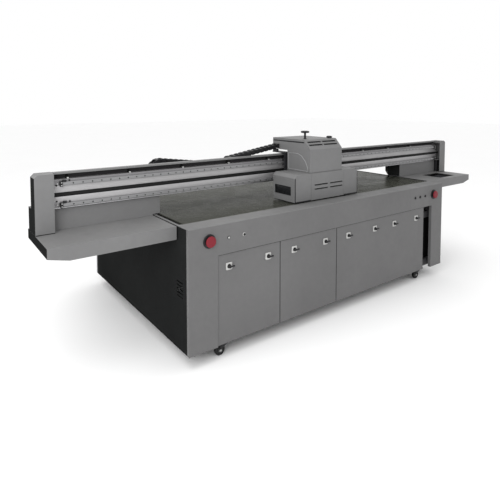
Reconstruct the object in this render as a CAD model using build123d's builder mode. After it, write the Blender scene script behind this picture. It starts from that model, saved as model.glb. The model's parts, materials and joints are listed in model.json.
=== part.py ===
from build123d import *

import os

# Flatbed UV printer. Millimetres, +X along the table, +Y to the rear, +Z up.
# The origin is on the floor, under the middle of the machine.

# ---- Driving dimensions ------------------------------------------------------------------
SHEET = 3                      # folded sheet thickness
SEAM = 2                       # gap at a sheet seam

# Cabinet and table
CABINET_X = 1450               # half length
CABINET_Y = 915                # half depth
CABINET_BOTTOM = 100
TABLE_TOP = 925
SURROUND_T = 4                 # table surround plate
TABLE_X = 1403                 # half length of the vacuum table
TABLE_Y = 762
TABLE_T = 20
TABLE_GAP = 16                 # dark gap beside the table
APRON_BOTTOM = 720
PANEL_RECESS = 8               # doors sit behind the apron face
PANEL_DEPTH = 28
PANEL_TOP = APRON_BOTTOM - 4
POST_SPANS = ((-1450, -1232), (1268, 1450))
PANEL_SPANS = ((-1228, -691), (-687, -90), (-86, 1142))

# Front controls
ESTOP_X = 1297
ESTOP_Z = 828
BUTTON_X = (-1018, 989, 1068, 1153)
INDICATOR_X = -1146
BUTTON_Z = 827
ZONES = 8
ZONE_PITCH = 307.5             # between the vacuum zones under the table
VALVE_X = (-1141, -803, -552, -219, 52, 397, 675, 1015)
VALVE_Z = 630

# Steel frame
LEG_X = (1374, 1424)
FRAME_Y = (-860, 885)
FRAME_BOTTOM = 106
FRAME_TUBE = 60
FRAME_TOP = 846
CROSS_TUBE_Y = (-650, -120, 120, 650)
RAIL_X = 1330                  # Y rails, one each side
RAIL_SEAT = 735
RAIL_HEIGHT = 28
RAIL_WIDTH = 30
SCREW_Z = 700
SCREW_R = 16

# Casters and feet
CASTER_X = (-1144, 1151)
CASTER_Y = 845
CASTER_TRAIL = 36
WHEEL_R = 37.5
WHEEL_Z = 38.5
FOOT_X = (-1250, 0, 1250)
FOOT_Y = 650

# Gantry
BEAM_X = 2133                  # half length of the beam
BEAM_Y = (-424, -240)
BEAM_Z = (1061, 1246)
BELT_SLOT_Z = (1136, 1162)
BELT_Y = -398
PULLEY_X = 2180
PULLEY_R = 20
COVER_TOP = 1290
COVER_LIP = 12                 # height of the lip along the beam cover's front edge
END_X = 2245                   # half length of the whole machine
END_FRONT = -480
END_BACK = -368
END_FOOT_BACK = -290           # the box is deeper below its step
END_STEP_Z = 1072
END_BEVEL = 20
HOUSING_BOTTOM = 922.5
TRAY_X = 1460
TRAY_Y = (-775, -255)
TRAY_Z = (835, 922)
ARM_Y = (-520, -300)
ARM_Z = (852, 880)
ARM_SLOT_Y = (-655, 865)
ARM_SLOT_Z = (838, 894)
WELL_X = (1780, 2032)          # opening over the capping station
WELL_Y = (-694, -510)
X_PARK = 1900                  # carriage travel to the parking place over the caps

# Drag chain: a loop behind the beam and a rising end above it
CHAIN_Y = (-232, -162)
CHAIN_T = 38
CHAIN_LOW = 1090
CHAIN_HIGH = 1240
CHAIN_CREST = 1302
CHAIN_BEND_X = -1300
CHAIN_REST_END = 460
RISE_Y = (-378, -308)

# Print carriage
CARRIAGE_MID = -50
CARRIAGE_FRONT = -770
CARRIAGE_REAR = -500
CARRIAGE_BOTTOM = 937
CARRIAGE_SHOULDER = 1156
CARRIAGE_TOP = 1425
CENTRE_X = (-244, 144)
HEAD_X = (-90, -10, 70)        # print heads, three columns of two
HEAD_Y = (-655, -551)
UPPER_X = (-250, 125)
LAMP_X = (196, 370)            # lamp housing, measured from the carriage middle
LAMP_BEVEL = 26

AXIS_TURN = {"x": (0, 90, 0), "y": (-90, 0, 0), "z": (0, 0, 0)}

os.makedirs("parts", exist_ok=True)
pieces = {}


# ---- Helpers -----------------------------------------------------------------------------
def block(x, y, z, mode=Mode.ADD):
    """Add or cut a rectangular block between two limits along each axis."""
    centre = tuple(sum(limits) / 2 for limits in (x, y, z))
    with Locations(centre):
        Box(abs(x[1] - x[0]), abs(y[1] - y[0]), abs(z[1] - z[0]), mode=mode)


def rod(start, axis, radius, length, mode=Mode.ADD):
    """Add or cut a round bar that starts at a point and runs along +x, +y or +z."""
    with Locations(Location(start, AXIS_TURN[axis])):
        Cylinder(radius, length, align=(Align.CENTER, Align.CENTER, Align.MIN), mode=mode)


def area(u, v, mode=Mode.ADD):
    """Add or cut a rectangle between two limits in a sketch."""
    with Locations((sum(u) / 2, sum(v) / 2)):
        Rectangle(abs(u[1] - u[0]), abs(v[1] - v[0]), mode=mode)


def grown(limits, by):
    """Limits moved outwards by a distance, or inwards when it is negative."""
    return (limits[0] - by, limits[1] + by)


def around(centre, half):
    """Limits on both sides of a centre."""
    return (centre - half, centre + half)


def slots(x, y, z, count, pitch, height):
    """Cut a column of level slots through a sheet, upwards from z."""
    for row in range(count):
        low = z + row * pitch
        block(x, y, (low, low + height), mode=Mode.SUBTRACT)


# ---- Base: frame and feet ----------------------------------------------------------------
FRAME_LOW = (FRAME_BOTTOM, FRAME_BOTTOM + FRAME_TUBE)
SIDE_BEAM_X = (1290, 1370)
SIDE_BEAM_Z = (655, RAIL_SEAT)
TOP_BEAM_Z = (766, FRAME_TOP)
MID_BEAM_Z = (590, 650)
SUPPORT_Y = ((-650, -620), (770, 795))

with BuildPart() as base_frame:
    for cross in (FRAME_Y[0] + 25, FRAME_Y[1] - 25, *CROSS_TUBE_Y):
        block((-LEG_X[1], LEG_X[1]), around(cross, 25), FRAME_LOW)
    for side in (-1, 1):
        leg = (side * LEG_X[0], side * LEG_X[1])
        beam = (side * SIDE_BEAM_X[0], side * SIDE_BEAM_X[1])
        gusset = (side * SIDE_BEAM_X[0], side * LEG_X[1])
        block(leg, FRAME_Y, FRAME_LOW)
        block(beam, FRAME_Y, SIDE_BEAM_Z)
        for end in ((FRAME_Y[0], FRAME_Y[0] + 60), (FRAME_Y[1] - 60, FRAME_Y[1])):
            block(leg, end, (FRAME_BOTTOM, FRAME_TOP))
            block(gusset, end, SIDE_BEAM_Z)
    for end in ((FRAME_Y[0], FRAME_Y[0] + 40), (FRAME_Y[1] - 40, FRAME_Y[1])):
        block((-LEG_X[1], LEG_X[1]), end, TOP_BEAM_Z)
        block((-LEG_X[1], LEG_X[1]), end, MID_BEAM_Z)
    # Middle beam with the two ballscrew supports
    block((-50, 50), FRAME_Y, MID_BEAM_Z)
    for support in SUPPORT_Y:
        block((-50, 50), support, (MID_BEAM_Z[1], SCREW_Z + 45))
        rod((0, support[0] - 1, SCREW_Z), "y", SCREW_R + 1, 40, mode=Mode.SUBTRACT)
    # Caster plates, bored for the king pins
    for x in CASTER_X:
        for y in (-CASTER_Y, CASTER_Y):
            block(around(x, 38), around(y, 38), (CABINET_BOTTOM, FRAME_BOTTOM))
            rod((x, y, CABINET_BOTTOM - 1), "z", 6.3, 7, mode=Mode.SUBTRACT)
pieces["base_frame"] = base_frame.part

with BuildPart() as levelling_feet:
    with Locations(*[(x, y, 0) for x in FOOT_X for y in (-FOOT_Y, FOOT_Y)]):
        Cylinder(45, 12, align=(Align.CENTER, Align.CENTER, Align.MIN))
        with Locations((0, 0, 12)):
            Cone(30, 16, 14, align=(Align.CENTER, Align.CENTER, Align.MIN))
        Cylinder(12, FRAME_BOTTOM, align=(Align.CENTER, Align.CENTER, Align.MIN))
        with Locations((0, 0, 88)):
            Cylinder(18, 14, align=(Align.CENTER, Align.CENTER, Align.MIN))
pieces["levelling_feet"] = levelling_feet.part


# ---- Base: cabinet sheets ----------------------------------------------------------------
FRONT_PANEL_Y = (-CABINET_Y + PANEL_RECESS, -CABINET_Y + PANEL_DEPTH)
APRON_Y = (-CABINET_Y, -CABINET_Y + PANEL_DEPTH)
SHEET_TOP = TABLE_TOP - SURROUND_T
SIDE_Y = (-CABINET_Y + PANEL_DEPTH + SEAM, CABINET_Y - PANEL_DEPTH - SEAM)
SIDE_DEPTH = 25
VENT_Y = (-835, -750)
BUTTON_HOLE_R = 9
ESTOP_HOLE_R = 11.5
VALVE_HOLE_R = 14

with BuildPart() as front_apron:
    block((-CABINET_X, CABINET_X), APRON_Y, (APRON_BOTTOM, SHEET_TOP))
    block(
        (-CABINET_X + SHEET, CABINET_X - SHEET),
        (APRON_Y[0] + SHEET, APRON_Y[1]),
        (APRON_BOTTOM + SHEET, SHEET_TOP - SHEET),
        mode=Mode.SUBTRACT,
    )
    # Corner posts below the apron, in one with it
    for post in POST_SPANS:
        block(post, APRON_Y, (CABINET_BOTTOM, APRON_BOTTOM + SHEET))
        block(
            grown(post, -SHEET),
            (APRON_Y[0] + SHEET, APRON_Y[1]),
            (CABINET_BOTTOM + SHEET, APRON_BOTTOM + 2 * SHEET),
            mode=Mode.SUBTRACT,
        )
    for x in (-ESTOP_X, ESTOP_X):
        rod((x, APRON_Y[0] - 1, ESTOP_Z), "y", ESTOP_HOLE_R, 10, mode=Mode.SUBTRACT)
    for x in (*BUTTON_X, INDICATOR_X):
        rod((x, APRON_Y[0] - 1, BUTTON_Z), "y", BUTTON_HOLE_R, 10, mode=Mode.SUBTRACT)
pieces["front_apron"] = front_apron.part

with BuildPart() as front_panels:
    for span in PANEL_SPANS:
        block(span, FRONT_PANEL_Y, (CABINET_BOTTOM + 4, PANEL_TOP))
        block(
            grown(span, -SHEET),
            (FRONT_PANEL_Y[0] + SHEET, FRONT_PANEL_Y[1]),
            (CABINET_BOTTOM + 4 + SHEET, PANEL_TOP - SHEET),
            mode=Mode.SUBTRACT,
        )
    for x in VALVE_X:
        rod((x, FRONT_PANEL_Y[0] - 1, VALVE_Z), "y", VALVE_HOLE_R, 10, mode=Mode.SUBTRACT)
pieces["front_panels"] = front_panels.part

with BuildPart() as side_panels:
    for side in (-1, 1):
        outer = (side * (CABINET_X - SIDE_DEPTH), side * CABINET_X)
        inner = (side * (CABINET_X - SIDE_DEPTH), side * (CABINET_X - SHEET))
        through = (side * (CABINET_X - 10), side * (CABINET_X + 10))
        block(outer, SIDE_Y, (CABINET_BOTTOM, SHEET_TOP))
        block(
            inner,
            grown(SIDE_Y, -SHEET),
            (CABINET_BOTTOM + SHEET, SHEET_TOP - SHEET),
            mode=Mode.SUBTRACT,
        )
        block(through, ARM_SLOT_Y, ARM_SLOT_Z, mode=Mode.SUBTRACT)
        slots(through, VENT_Y, 455, 5, 24, 9)
pieces["side_panels"] = side_panels.part

INLET_X = 900
INLET_Z = 300
INLET_R = 29

with BuildPart() as rear_panel:
    block((-CABINET_X, CABINET_X), (CABINET_Y - PANEL_DEPTH, CABINET_Y), (CABINET_BOTTOM, SHEET_TOP))
    block(
        (-CABINET_X + SHEET, CABINET_X - SHEET),
        (CABINET_Y - PANEL_DEPTH, CABINET_Y - SHEET),
        (CABINET_BOTTOM + SHEET, SHEET_TOP - SHEET),
        mode=Mode.SUBTRACT,
    )
    for x in (-900, -350, 500):
        slots(around(x, 110), (CABINET_Y - 10, CABINET_Y + 10), 260, 8, 26, 9)
    rod((INLET_X, CABINET_Y - 10, INLET_Z), "y", INLET_R + 1, 20, mode=Mode.SUBTRACT)
pieces["rear_panel"] = rear_panel.part

OPENING_X = (-TABLE_X - TABLE_GAP, TABLE_X + TABLE_GAP)
OPENING_Y = (-TABLE_Y - 3, TABLE_Y + 3)

with BuildPart() as table_surround:
    block((-CABINET_X, CABINET_X), (-CABINET_Y, CABINET_Y), (SHEET_TOP, TABLE_TOP))
    # Downturned lip around the opening
    block(grown(OPENING_X, SHEET), grown(OPENING_Y, SHEET), (SHEET_TOP - 12, SHEET_TOP))
    block(OPENING_X, OPENING_Y, (SHEET_TOP - 20, TABLE_TOP + 1), mode=Mode.SUBTRACT)
pieces["table_surround"] = table_surround.part

with BuildPart() as vacuum_table:
    block((-TABLE_X, TABLE_X), (-TABLE_Y, TABLE_Y), (TABLE_TOP - TABLE_T, TABLE_TOP))
    chamfer(vacuum_table.faces().sort_by(Axis.Z)[-1].edges(), 1)
pieces["vacuum_table"] = vacuum_table.part

PLENUM_Z = (FRAME_TOP, TABLE_TOP - TABLE_T)
PLENUM_X = 1245

with BuildPart() as vacuum_plenum:
    block((-PLENUM_X, PLENUM_X), (FRAME_Y[0] + 10, FRAME_Y[1] - 10), PLENUM_Z)
    for zone in range(ZONES):
        x = (zone - (ZONES - 1) / 2) * ZONE_PITCH
        block(around(x, 148), (-740, 740), (PLENUM_Z[0] + 9, PLENUM_Z[1] + 1), mode=Mode.SUBTRACT)
        rod((x, -700, PLENUM_Z[0] - 1), "z", 25, 12, mode=Mode.SUBTRACT)
pieces["vacuum_plenum"] = vacuum_plenum.part

BLOWER_X = (-900, -350)
BLOWER_Z = 330

with BuildPart() as vacuum_blowers:
    for x in BLOWER_X:
        block(around(x, 110), (-140, 140), (FRAME_LOW[1], FRAME_LOW[1] + 14))
        block(around(x, 60), (-60, 120), (FRAME_LOW[1] + 10, BLOWER_Z))
        rod((x, -80, BLOWER_Z), "y", 150, 110)
        rod((x, 20, BLOWER_Z), "y", 95, 210)
        rod((x, -100, BLOWER_Z), "y", 60, 30)
        rod((x + 100, -25, BLOWER_Z), "z", 28, 175)
pieces["vacuum_blowers"] = vacuum_blowers.part

BOX_X = (450, 1150)
BOX_Y = (110, 660)
BOX_Z = (FRAME_LOW[1], 640)

with BuildPart() as electrical_box:
    # Open-fronted enclosure with the boards and supplies on its back wall
    block(BOX_X, BOX_Y, BOX_Z)
    block(
        grown(BOX_X, -SHEET),
        (BOX_Y[0] - 1, BOX_Y[1] - SHEET),
        grown(BOX_Z, -SHEET),
        mode=Mode.SUBTRACT,
    )
    for row, depth in enumerate((90, 130, 70)):
        for column in range(4):
            block(
                around(545 + 170 * column, 60),
                (BOX_Y[1] - SHEET - depth, BOX_Y[1] - SHEET),
                around(250 + 150 * row, 50),
            )
    # Mains inlet in the rear panel: barrel, flange and gland, bored for the lead
    rod((INLET_X, 880, INLET_Z), "y", INLET_R, 35)
    block(around(INLET_X, 40), (CABINET_Y, CABINET_Y + 6), around(INLET_Z, 40))
    rod((INLET_X, CABINET_Y + 6, INLET_Z), "y", 19, 24)
    rod((INLET_X, 879, INLET_Z), "y", 7, 80, mode=Mode.SUBTRACT)
pieces["electrical_box"] = electrical_box.part


# ---- Base: Y drive -----------------------------------------------------------------------
with BuildPart() as y_rails:
    for side in (-1, 1):
        block(
            around(side * RAIL_X, RAIL_WIDTH / 2),
            (-850, 870),
            (RAIL_SEAT, RAIL_SEAT + RAIL_HEIGHT),
        )
pieces["y_rails"] = y_rails.part

with BuildPart() as y_ballscrew:
    rod((0, -655, SCREW_Z), "y", SCREW_R, 1455)
    rod((0, -694, SCREW_Z), "y", 26, 40)
pieces["y_ballscrew"] = y_ballscrew.part

with BuildPart() as y_drive_motor:
    block((-48, 48), (-830, -700), (MID_BEAM_Z[1] + 2, SCREW_Z + 48))
    fillet(y_drive_motor.edges().filter_by(Axis.Y), 10)
    block((-50, 50), (-712, -700), (MID_BEAM_Z[1], SCREW_Z + 50))
pieces["y_drive_motor"] = y_drive_motor.part


# ---- Base: front controls ----------------------------------------------------------------
PANEL_FACE = FRONT_PANEL_Y[0]
APRON_FACE = APRON_Y[0]
ESTOP_RING_R = 47
ESTOP_HEAD_R = 37
BUTTON_RING_R = 15
VALVE_PLATE = 25               # half width

with BuildPart() as front_fittings:
    for x in (-ESTOP_X, ESTOP_X):
        rod((x, APRON_FACE - 6, ESTOP_Z), "y", ESTOP_RING_R, 6)
        rod((x, APRON_FACE - 9, ESTOP_Z), "y", 24, 7)
        rod((x, APRON_FACE - 15, ESTOP_Z), "y", ESTOP_HOLE_R + 0.5, 30, mode=Mode.SUBTRACT)
    for x in BUTTON_X:
        rod((x, APRON_FACE - 4, BUTTON_Z), "y", BUTTON_RING_R, 4)
        rod((x, APRON_FACE - 5, BUTTON_Z), "y", BUTTON_HOLE_R + 0.5, 10, mode=Mode.SUBTRACT)
    rod((INDICATOR_X, APRON_FACE - 7, BUTTON_Z), "y", 11, 7)
    rod((INDICATOR_X, APRON_FACE, BUTTON_Z), "y", BUTTON_HOLE_R - 0.5, 25)
    for x in VALVE_X:
        block(around(x, VALVE_PLATE), (PANEL_FACE - 5, PANEL_FACE), around(VALVE_Z, VALVE_PLATE))
        rod((x, PANEL_FACE - 1, VALVE_Z), "y", VALVE_HOLE_R - 1, 41)
        rod((x, PANEL_FACE - 6, VALVE_Z), "y", 6.5, 50, mode=Mode.SUBTRACT)
pieces["front_fittings"] = front_fittings.part

for name, x in (("estop_left", -ESTOP_X), ("estop_right", ESTOP_X)):
    with BuildPart() as estop:
        rod((x, APRON_FACE - 30, ESTOP_Z), "y", ESTOP_HEAD_R, 15)
        fillet(estop.faces().sort_by(Axis.Y)[0].edges(), 9)
        rod((x, APRON_FACE - 17, ESTOP_Z), "y", ESTOP_HOLE_R - 0.5, 40)
    pieces[name] = estop.part

for index, x in enumerate(BUTTON_X, start=1):
    with BuildPart() as button:
        rod((x, APRON_FACE - 8, BUTTON_Z), "y", BUTTON_HOLE_R - 0.5, 30)
        fillet(button.faces().sort_by(Axis.Y)[0].edges(), 2)
    pieces[f"push_button_{index}"] = button.part

for index, x in enumerate(VALVE_X, start=1):
    with BuildPart() as lever:
        rod((x, PANEL_FACE - 12, VALVE_Z), "y", 6, 46)
        rod((x, PANEL_FACE - 16, VALVE_Z), "y", 11, 10)
        with BuildSketch(Plane.XZ.offset(-(PANEL_FACE - 16))):
            with Locations((x + 14, VALVE_Z)):
                SlotOverall(46, 13)
        extrude(amount=-8)
    pieces[f"zone_lever_{index}"] = lever.part


# ---- Casters -----------------------------------------------------------------------------
CHEEK_GAP = 15.5
corner_names = {(0, -1): "front_left", (1, -1): "front_right", (0, 1): "rear_left", (1, 1): "rear_right"}
for (column, row), corner in corner_names.items():
    x = CASTER_X[column]
    y = row * CASTER_Y
    axle_x = x - CASTER_TRAIL
    with BuildPart() as caster_fork:
        rod((x, y, 84), "z", 27, 14)
        rod((x, y, 90), "z", 6, 15)
        for low in (y - CHEEK_GAP - 3, y + CHEEK_GAP):
            with BuildSketch(Plane.XZ.offset(-low)):
                with BuildLine():
                    Polyline((x + 20, 86), (x - 26, 86), (axle_x - 9, 50), (axle_x - 9, WHEEL_Z))
                    ThreePointArc((axle_x - 9, WHEEL_Z), (axle_x, WHEEL_Z - 9), (axle_x + 9, WHEEL_Z))
                    Polyline((axle_x + 9, WHEEL_Z), (axle_x + 12, 50), (x + 20, 74), (x + 20, 86))
                make_face()
            extrude(amount=-3)
        block((x + 12, x + 74), around(y, CHEEK_GAP + 1), (72, 80))
        rod((axle_x, y - CHEEK_GAP - 3, WHEEL_Z), "y", 5, 2 * CHEEK_GAP + 6)
    pieces[f"caster_fork_{corner}"] = caster_fork.part
    with BuildPart() as caster_wheel:
        rod((axle_x, y - 14, WHEEL_Z), "y", WHEEL_R, 28)
        fillet(caster_wheel.edges().filter_by(GeomType.CIRCLE), 5)
        for low in (y - 15, y + 9):
            rod((axle_x, low, WHEEL_Z), "y", 22, 6, mode=Mode.SUBTRACT)
            rod((axle_x, low, WHEEL_Z), "y", 10, 6)
        rod((axle_x, y - 20, WHEEL_Z), "y", 5.05, 40, mode=Mode.SUBTRACT)
    pieces[f"caster_wheel_{corner}"] = caster_wheel.part


# ---- Gantry: beam, rails and belt --------------------------------------------------------
with BuildPart() as gantry_beam:
    with BuildSketch(Plane.YZ):
        area(BEAM_Y, BEAM_Z)
        area((BEAM_Y[0], -370), BELT_SLOT_Z, mode=Mode.SUBTRACT)
        area((-412, -252), (BEAM_Z[0] + 10, BELT_SLOT_Z[0] - 10), mode=Mode.SUBTRACT)
        area((-412, -252), (BELT_SLOT_Z[1] + 10, BEAM_Z[1] - 10), mode=Mode.SUBTRACT)
        area((-360, -252), BELT_SLOT_Z, mode=Mode.SUBTRACT)
    extrude(amount=BEAM_X, both=True)
pieces["gantry_beam"] = gantry_beam.part

X_RAIL_Z = (1084, 1218)
X_RAIL_FRONT = -442
X_RAIL_END = 2090

with BuildPart() as beam_rails:
    with BuildSketch(Plane.YZ):
        for z in X_RAIL_Z:
            area((X_RAIL_FRONT, BEAM_Y[0]), around(z, 10))
            for edge in (z - 10, z + 10):
                area((X_RAIL_FRONT + 5, X_RAIL_FRONT + 10), around(edge, 3), mode=Mode.SUBTRACT)
    extrude(amount=X_RAIL_END, both=True)
    # End stops
    for z in X_RAIL_Z:
        for side in (-1, 1):
            block(
                (side * (X_RAIL_END - 14), side * X_RAIL_END),
                (X_RAIL_FRONT - 10, BEAM_Y[0]),
                around(z, 16),
            )
pieces["beam_rails"] = beam_rails.part

SHELF_Z = (1060, 1068)         # shelves in the end boxes, which carry the belt pulleys
BELT_T = 2.5
BELT_BORE = PULLEY_R + 0.3
BELT_Z = (1140, 1160)

with BuildPart() as x_belt:
    with BuildSketch(Plane.XY.offset(BELT_Z[0])):
        with Locations((0, BELT_Y)):
            SlotCenterToCenter(2 * PULLEY_X, 2 * (BELT_BORE + BELT_T))
            SlotCenterToCenter(2 * PULLEY_X, 2 * BELT_BORE, mode=Mode.SUBTRACT)
    extrude(amount=BELT_Z[1] - BELT_Z[0])
pieces["x_belt"] = x_belt.part

for name, x in (("x_drive_pulley", PULLEY_X), ("x_idler_pulley", -PULLEY_X)):
    with BuildPart() as pulley:
        rod((x, BELT_Y, BELT_Z[0] - 1), "z", PULLEY_R, 22)
        for flange in (BELT_Z[0] - 4, BELT_Z[1] + 1):
            rod((x, BELT_Y, flange), "z", PULLEY_R + 2, 3)
        rod((x, BELT_Y, SHELF_Z[0] + 3), "z", 7, BELT_Z[1] + 8 - SHELF_Z[0] - 3)
    pieces[name] = pulley.part

with BuildPart() as x_drive_motor:
    block(around(PULLEY_X, 40), around(BELT_Y, 40), (SHELF_Z[0] - 121, SHELF_Z[0] - 1))
    fillet(x_drive_motor.edges().filter_by(Axis.Z), 8)
    block(around(PULLEY_X, 42), around(BELT_Y, 42), (SHELF_Z[0] - 9, SHELF_Z[0]))
pieces["x_drive_motor"] = x_drive_motor.part


# ---- Gantry: covers ----------------------------------------------------------------------
TROUGH_FLOOR = CHAIN_LOW - 3
TROUGH_REAR = CHAIN_Y[1] + 1
TROUGH_WALL = TROUGH_FLOOR + 63
WEB_Y = (BEAM_Y[1], BEAM_Y[1] + SHEET)
LIP_REAR = BEAM_Y[0] + 40
DECK = BEAM_Z[1] + SHEET

with BuildPart() as beam_top_cover:
    # A raised front lip, a deck on the beam and a trough for the chain behind it
    with BuildSketch(Plane.YZ):
        with BuildLine():
            Polyline(
                (BEAM_Y[0], COVER_TOP),
                (LIP_REAR + SHEET, COVER_TOP),
                (LIP_REAR + SHEET, DECK),
                (WEB_Y[1], DECK),
                (WEB_Y[1], TROUGH_FLOOR),
                (TROUGH_REAR, TROUGH_FLOOR),
                (TROUGH_REAR, TROUGH_WALL),
                (TROUGH_REAR + SHEET, TROUGH_WALL),
                (TROUGH_REAR + SHEET, TROUGH_FLOOR - SHEET),
                (WEB_Y[0], TROUGH_FLOOR - SHEET),
                (WEB_Y[0], BEAM_Z[1]),
                (LIP_REAR, BEAM_Z[1]),
                (LIP_REAR, COVER_TOP - COVER_LIP),
                (BEAM_Y[0], COVER_TOP - COVER_LIP),
                close=True,
            )
        make_face()
    extrude(amount=BEAM_X, both=True)
pieces["beam_top_cover"] = beam_top_cover.part

LEG_COVER_FRONT = -410
LEG_COVER_REAR = -223
LEG_COVER_END = {-1: 1405, 1: TRAY_X - 5}
LEG_COVER_LOW = 932            # clears the table surround

with BuildPart() as end_housings:
    for side in (-1, 1):
        # End box with a bevelled top corner
        with BuildSketch(Plane.XZ.offset(-END_FRONT)):
            with BuildLine():
                Polyline(
                    (side * BEAM_X, HOUSING_BOTTOM),
                    (side * END_X, HOUSING_BOTTOM),
                    (side * END_X, COVER_TOP - END_BEVEL),
                    (side * (END_X - END_BEVEL), COVER_TOP),
                    (side * BEAM_X, COVER_TOP),
                    close=True,
                )
            make_face()
        extrude(amount=END_FRONT - END_BACK)
        block(
            (side * BEAM_X, side * END_X),
            (END_BACK - 5, END_FOOT_BACK),
            (HOUSING_BOTTOM, END_STEP_Z),
        )
        hollow = (side * (BEAM_X - 1), side * (END_X - SHEET))
        block(
            hollow,
            (END_FRONT + SHEET, END_BACK - SHEET),
            (HOUSING_BOTTOM + SHEET, COVER_TOP - END_BEVEL - 2 * SHEET),
            mode=Mode.SUBTRACT,
        )
        block(
            hollow,
            (END_BACK - 10, END_FOOT_BACK - SHEET),
            (HOUSING_BOTTOM + SHEET, END_STEP_Z - SHEET),
            mode=Mode.SUBTRACT,
        )
        # Plate that closes the end of the beam and of the chain trough
        block(
            (side * BEAM_X, side * (BEAM_X + SHEET)),
            (END_BACK - SHEET, TROUGH_REAR + SHEET),
            (END_STEP_Z, DECK),
        )
        # Shelf that carries the belt pulley
        block((side * BEAM_X, side * (END_X - 1)), (-450, -346), SHELF_Z)
        rod((side * PULLEY_X, BELT_Y, SHELF_Z[0] - 5), "z", 7.05, 20, mode=Mode.SUBTRACT)
        # Leg cover below the beam
        end = LEG_COVER_END[side]
        leg_x = (side * end, side * BEAM_X)
        with BuildSketch(Plane.YZ.offset(min(leg_x))):
            with BuildLine():
                Polyline(
                    (LEG_COVER_FRONT, HOUSING_BOTTOM),
                    (-257, HOUSING_BOTTOM),
                    (LEG_COVER_REAR, 973),
                    (LEG_COVER_REAR, BEAM_Z[0]),
                    (LEG_COVER_FRONT, BEAM_Z[0]),
                    close=True,
                )
            make_face()
            offset(amount=-SHEET, mode=Mode.SUBTRACT)
        extrude(amount=abs(leg_x[1] - leg_x[0]))
        block((side * end, side * (end + SHEET)), (-408, -260), (LEG_COVER_LOW - 2, BEAM_Z[0] - 2))
        block(
            (side * (end - 1), side * TRAY_X),
            grown((LEG_COVER_FRONT, LEG_COVER_REAR), 1),
            (HOUSING_BOTTOM - 1, LEG_COVER_LOW),
            mode=Mode.SUBTRACT,
        )
        block(
            (side * TRAY_X, side * (BEAM_X + 1)),
            (LEG_COVER_FRONT + SHEET, -262),
            (HOUSING_BOTTOM - 1, BEAM_Z[0] + 1),
            mode=Mode.SUBTRACT,
        )
pieces["end_housings"] = end_housings.part


def tray_shell(side, well):
    """A hollow side tray, open towards the cabinet, cut away for the gantry columns."""
    with BuildPart() as tray:
        with BuildSketch(Plane.XZ.offset(-TRAY_Y[0])):
            with BuildLine():
                Polyline(
                    (side * TRAY_X, TRAY_Z[1]),
                    (side * END_X, TRAY_Z[1]),
                    (side * END_X, TRAY_Z[0] + 28),
                    (side * (END_X - 120), TRAY_Z[0]),
                    (side * TRAY_X, TRAY_Z[0]),
                    close=True,
                )
            make_face()
        extrude(amount=TRAY_Y[0] - TRAY_Y[1])
        with BuildSketch(Plane.XZ.offset(-TRAY_Y[0] - SHEET)):
            with BuildLine():
                Polyline(
                    (side * (TRAY_X - 1), TRAY_Z[1] - SHEET),
                    (side * (END_X - SHEET), TRAY_Z[1] - SHEET),
                    (side * (END_X - SHEET), TRAY_Z[0] + 28 + SHEET),
                    (side * (END_X - 120), TRAY_Z[0] + SHEET),
                    (side * (TRAY_X - 1), TRAY_Z[0] + SHEET),
                    close=True,
                )
            make_face()
        extrude(amount=TRAY_Y[0] - TRAY_Y[1] + 2 * SHEET, mode=Mode.SUBTRACT)
        block((side * 1480, side * 2100), (-400, -270), (TRAY_Z[1] - 5, TRAY_Z[1] + 1), mode=Mode.SUBTRACT)
        if well:
            block(WELL_X, WELL_Y, (TRAY_Z[1] - 5, TRAY_Z[1] + 1), mode=Mode.SUBTRACT)
    return tray.part


pieces["left_tray"] = tray_shell(-1, well=False)
pieces["right_tray"] = tray_shell(1, well=True)

COLUMN_X = ((1500, 1620), (1900, 2020))
COLUMN_Y = (-390, -300)
BLOCK_Z = (742, ARM_Z[0])
CROSS_BEAM_Z = (757, 835)

with BuildPart() as gantry_arms:
    for side in (-1, 1):
        block((side * 1292, side * 2050), ARM_Y, ARM_Z)
        for column in COLUMN_X:
            block((side * column[0], side * column[1]), COLUMN_Y, (ARM_Z[1], BEAM_Z[0]))
        for slider in ((-520, -440), (-410, -330)):
            block((side * 1292, side * 1368), slider, BLOCK_Z)
            block(
                around(side * RAIL_X, RAIL_WIDTH / 2 + 0.5),
                grown(slider, 1),
                (BLOCK_Z[0] - 1, RAIL_SEAT + RAIL_HEIGHT + 1),
                mode=Mode.SUBTRACT,
            )
    # Cross beam under the table, with the ballscrew nut
    block((-1291, 1291), (-500, -360), CROSS_BEAM_Z)
    block((-40, 40), (-470, -400), (SCREW_Z - 40, CROSS_BEAM_Z[0]))
    rod((0, -471, SCREW_Z), "y", SCREW_R + 0.5, 72, mode=Mode.SUBTRACT)
pieces["gantry_arms"] = gantry_arms.part

CAP_X = (1786, 2016)
CAP_Y = (-677, -527)
CAP_MIDDLE = (sum(CAP_X) / 2, sum(CAP_Y) / 2)
WIPER_X = (2006, 2010)

with BuildPart() as capping_station:
    block(CAP_X, CAP_Y, (884, 896))
    with Locations(*[(x + X_PARK, CAP_MIDDLE[1], 896) for x in HEAD_X]):
        Box(40, 130, 9, align=(Align.CENTER, Align.CENTER, Align.MIN))
        Box(32, 122, 10, align=(Align.CENTER, Align.CENTER, Align.MIN), mode=Mode.SUBTRACT)
    block(WIPER_X, grown(CAP_Y, -7), (896, 908))
    rod((*CAP_MIDDLE, 846), "z", 12, 40)
pieces["capping_station"] = capping_station.part


# ---- Drag chain --------------------------------------------------------------------------
BEND_MID_Z = (CHAIN_LOW + CHAIN_CREST) / 2
BEND_OUTER = (CHAIN_CREST - CHAIN_LOW) / 2
BEND_INNER = BEND_OUTER - CHAIN_T
CREST_END = -826

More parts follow.
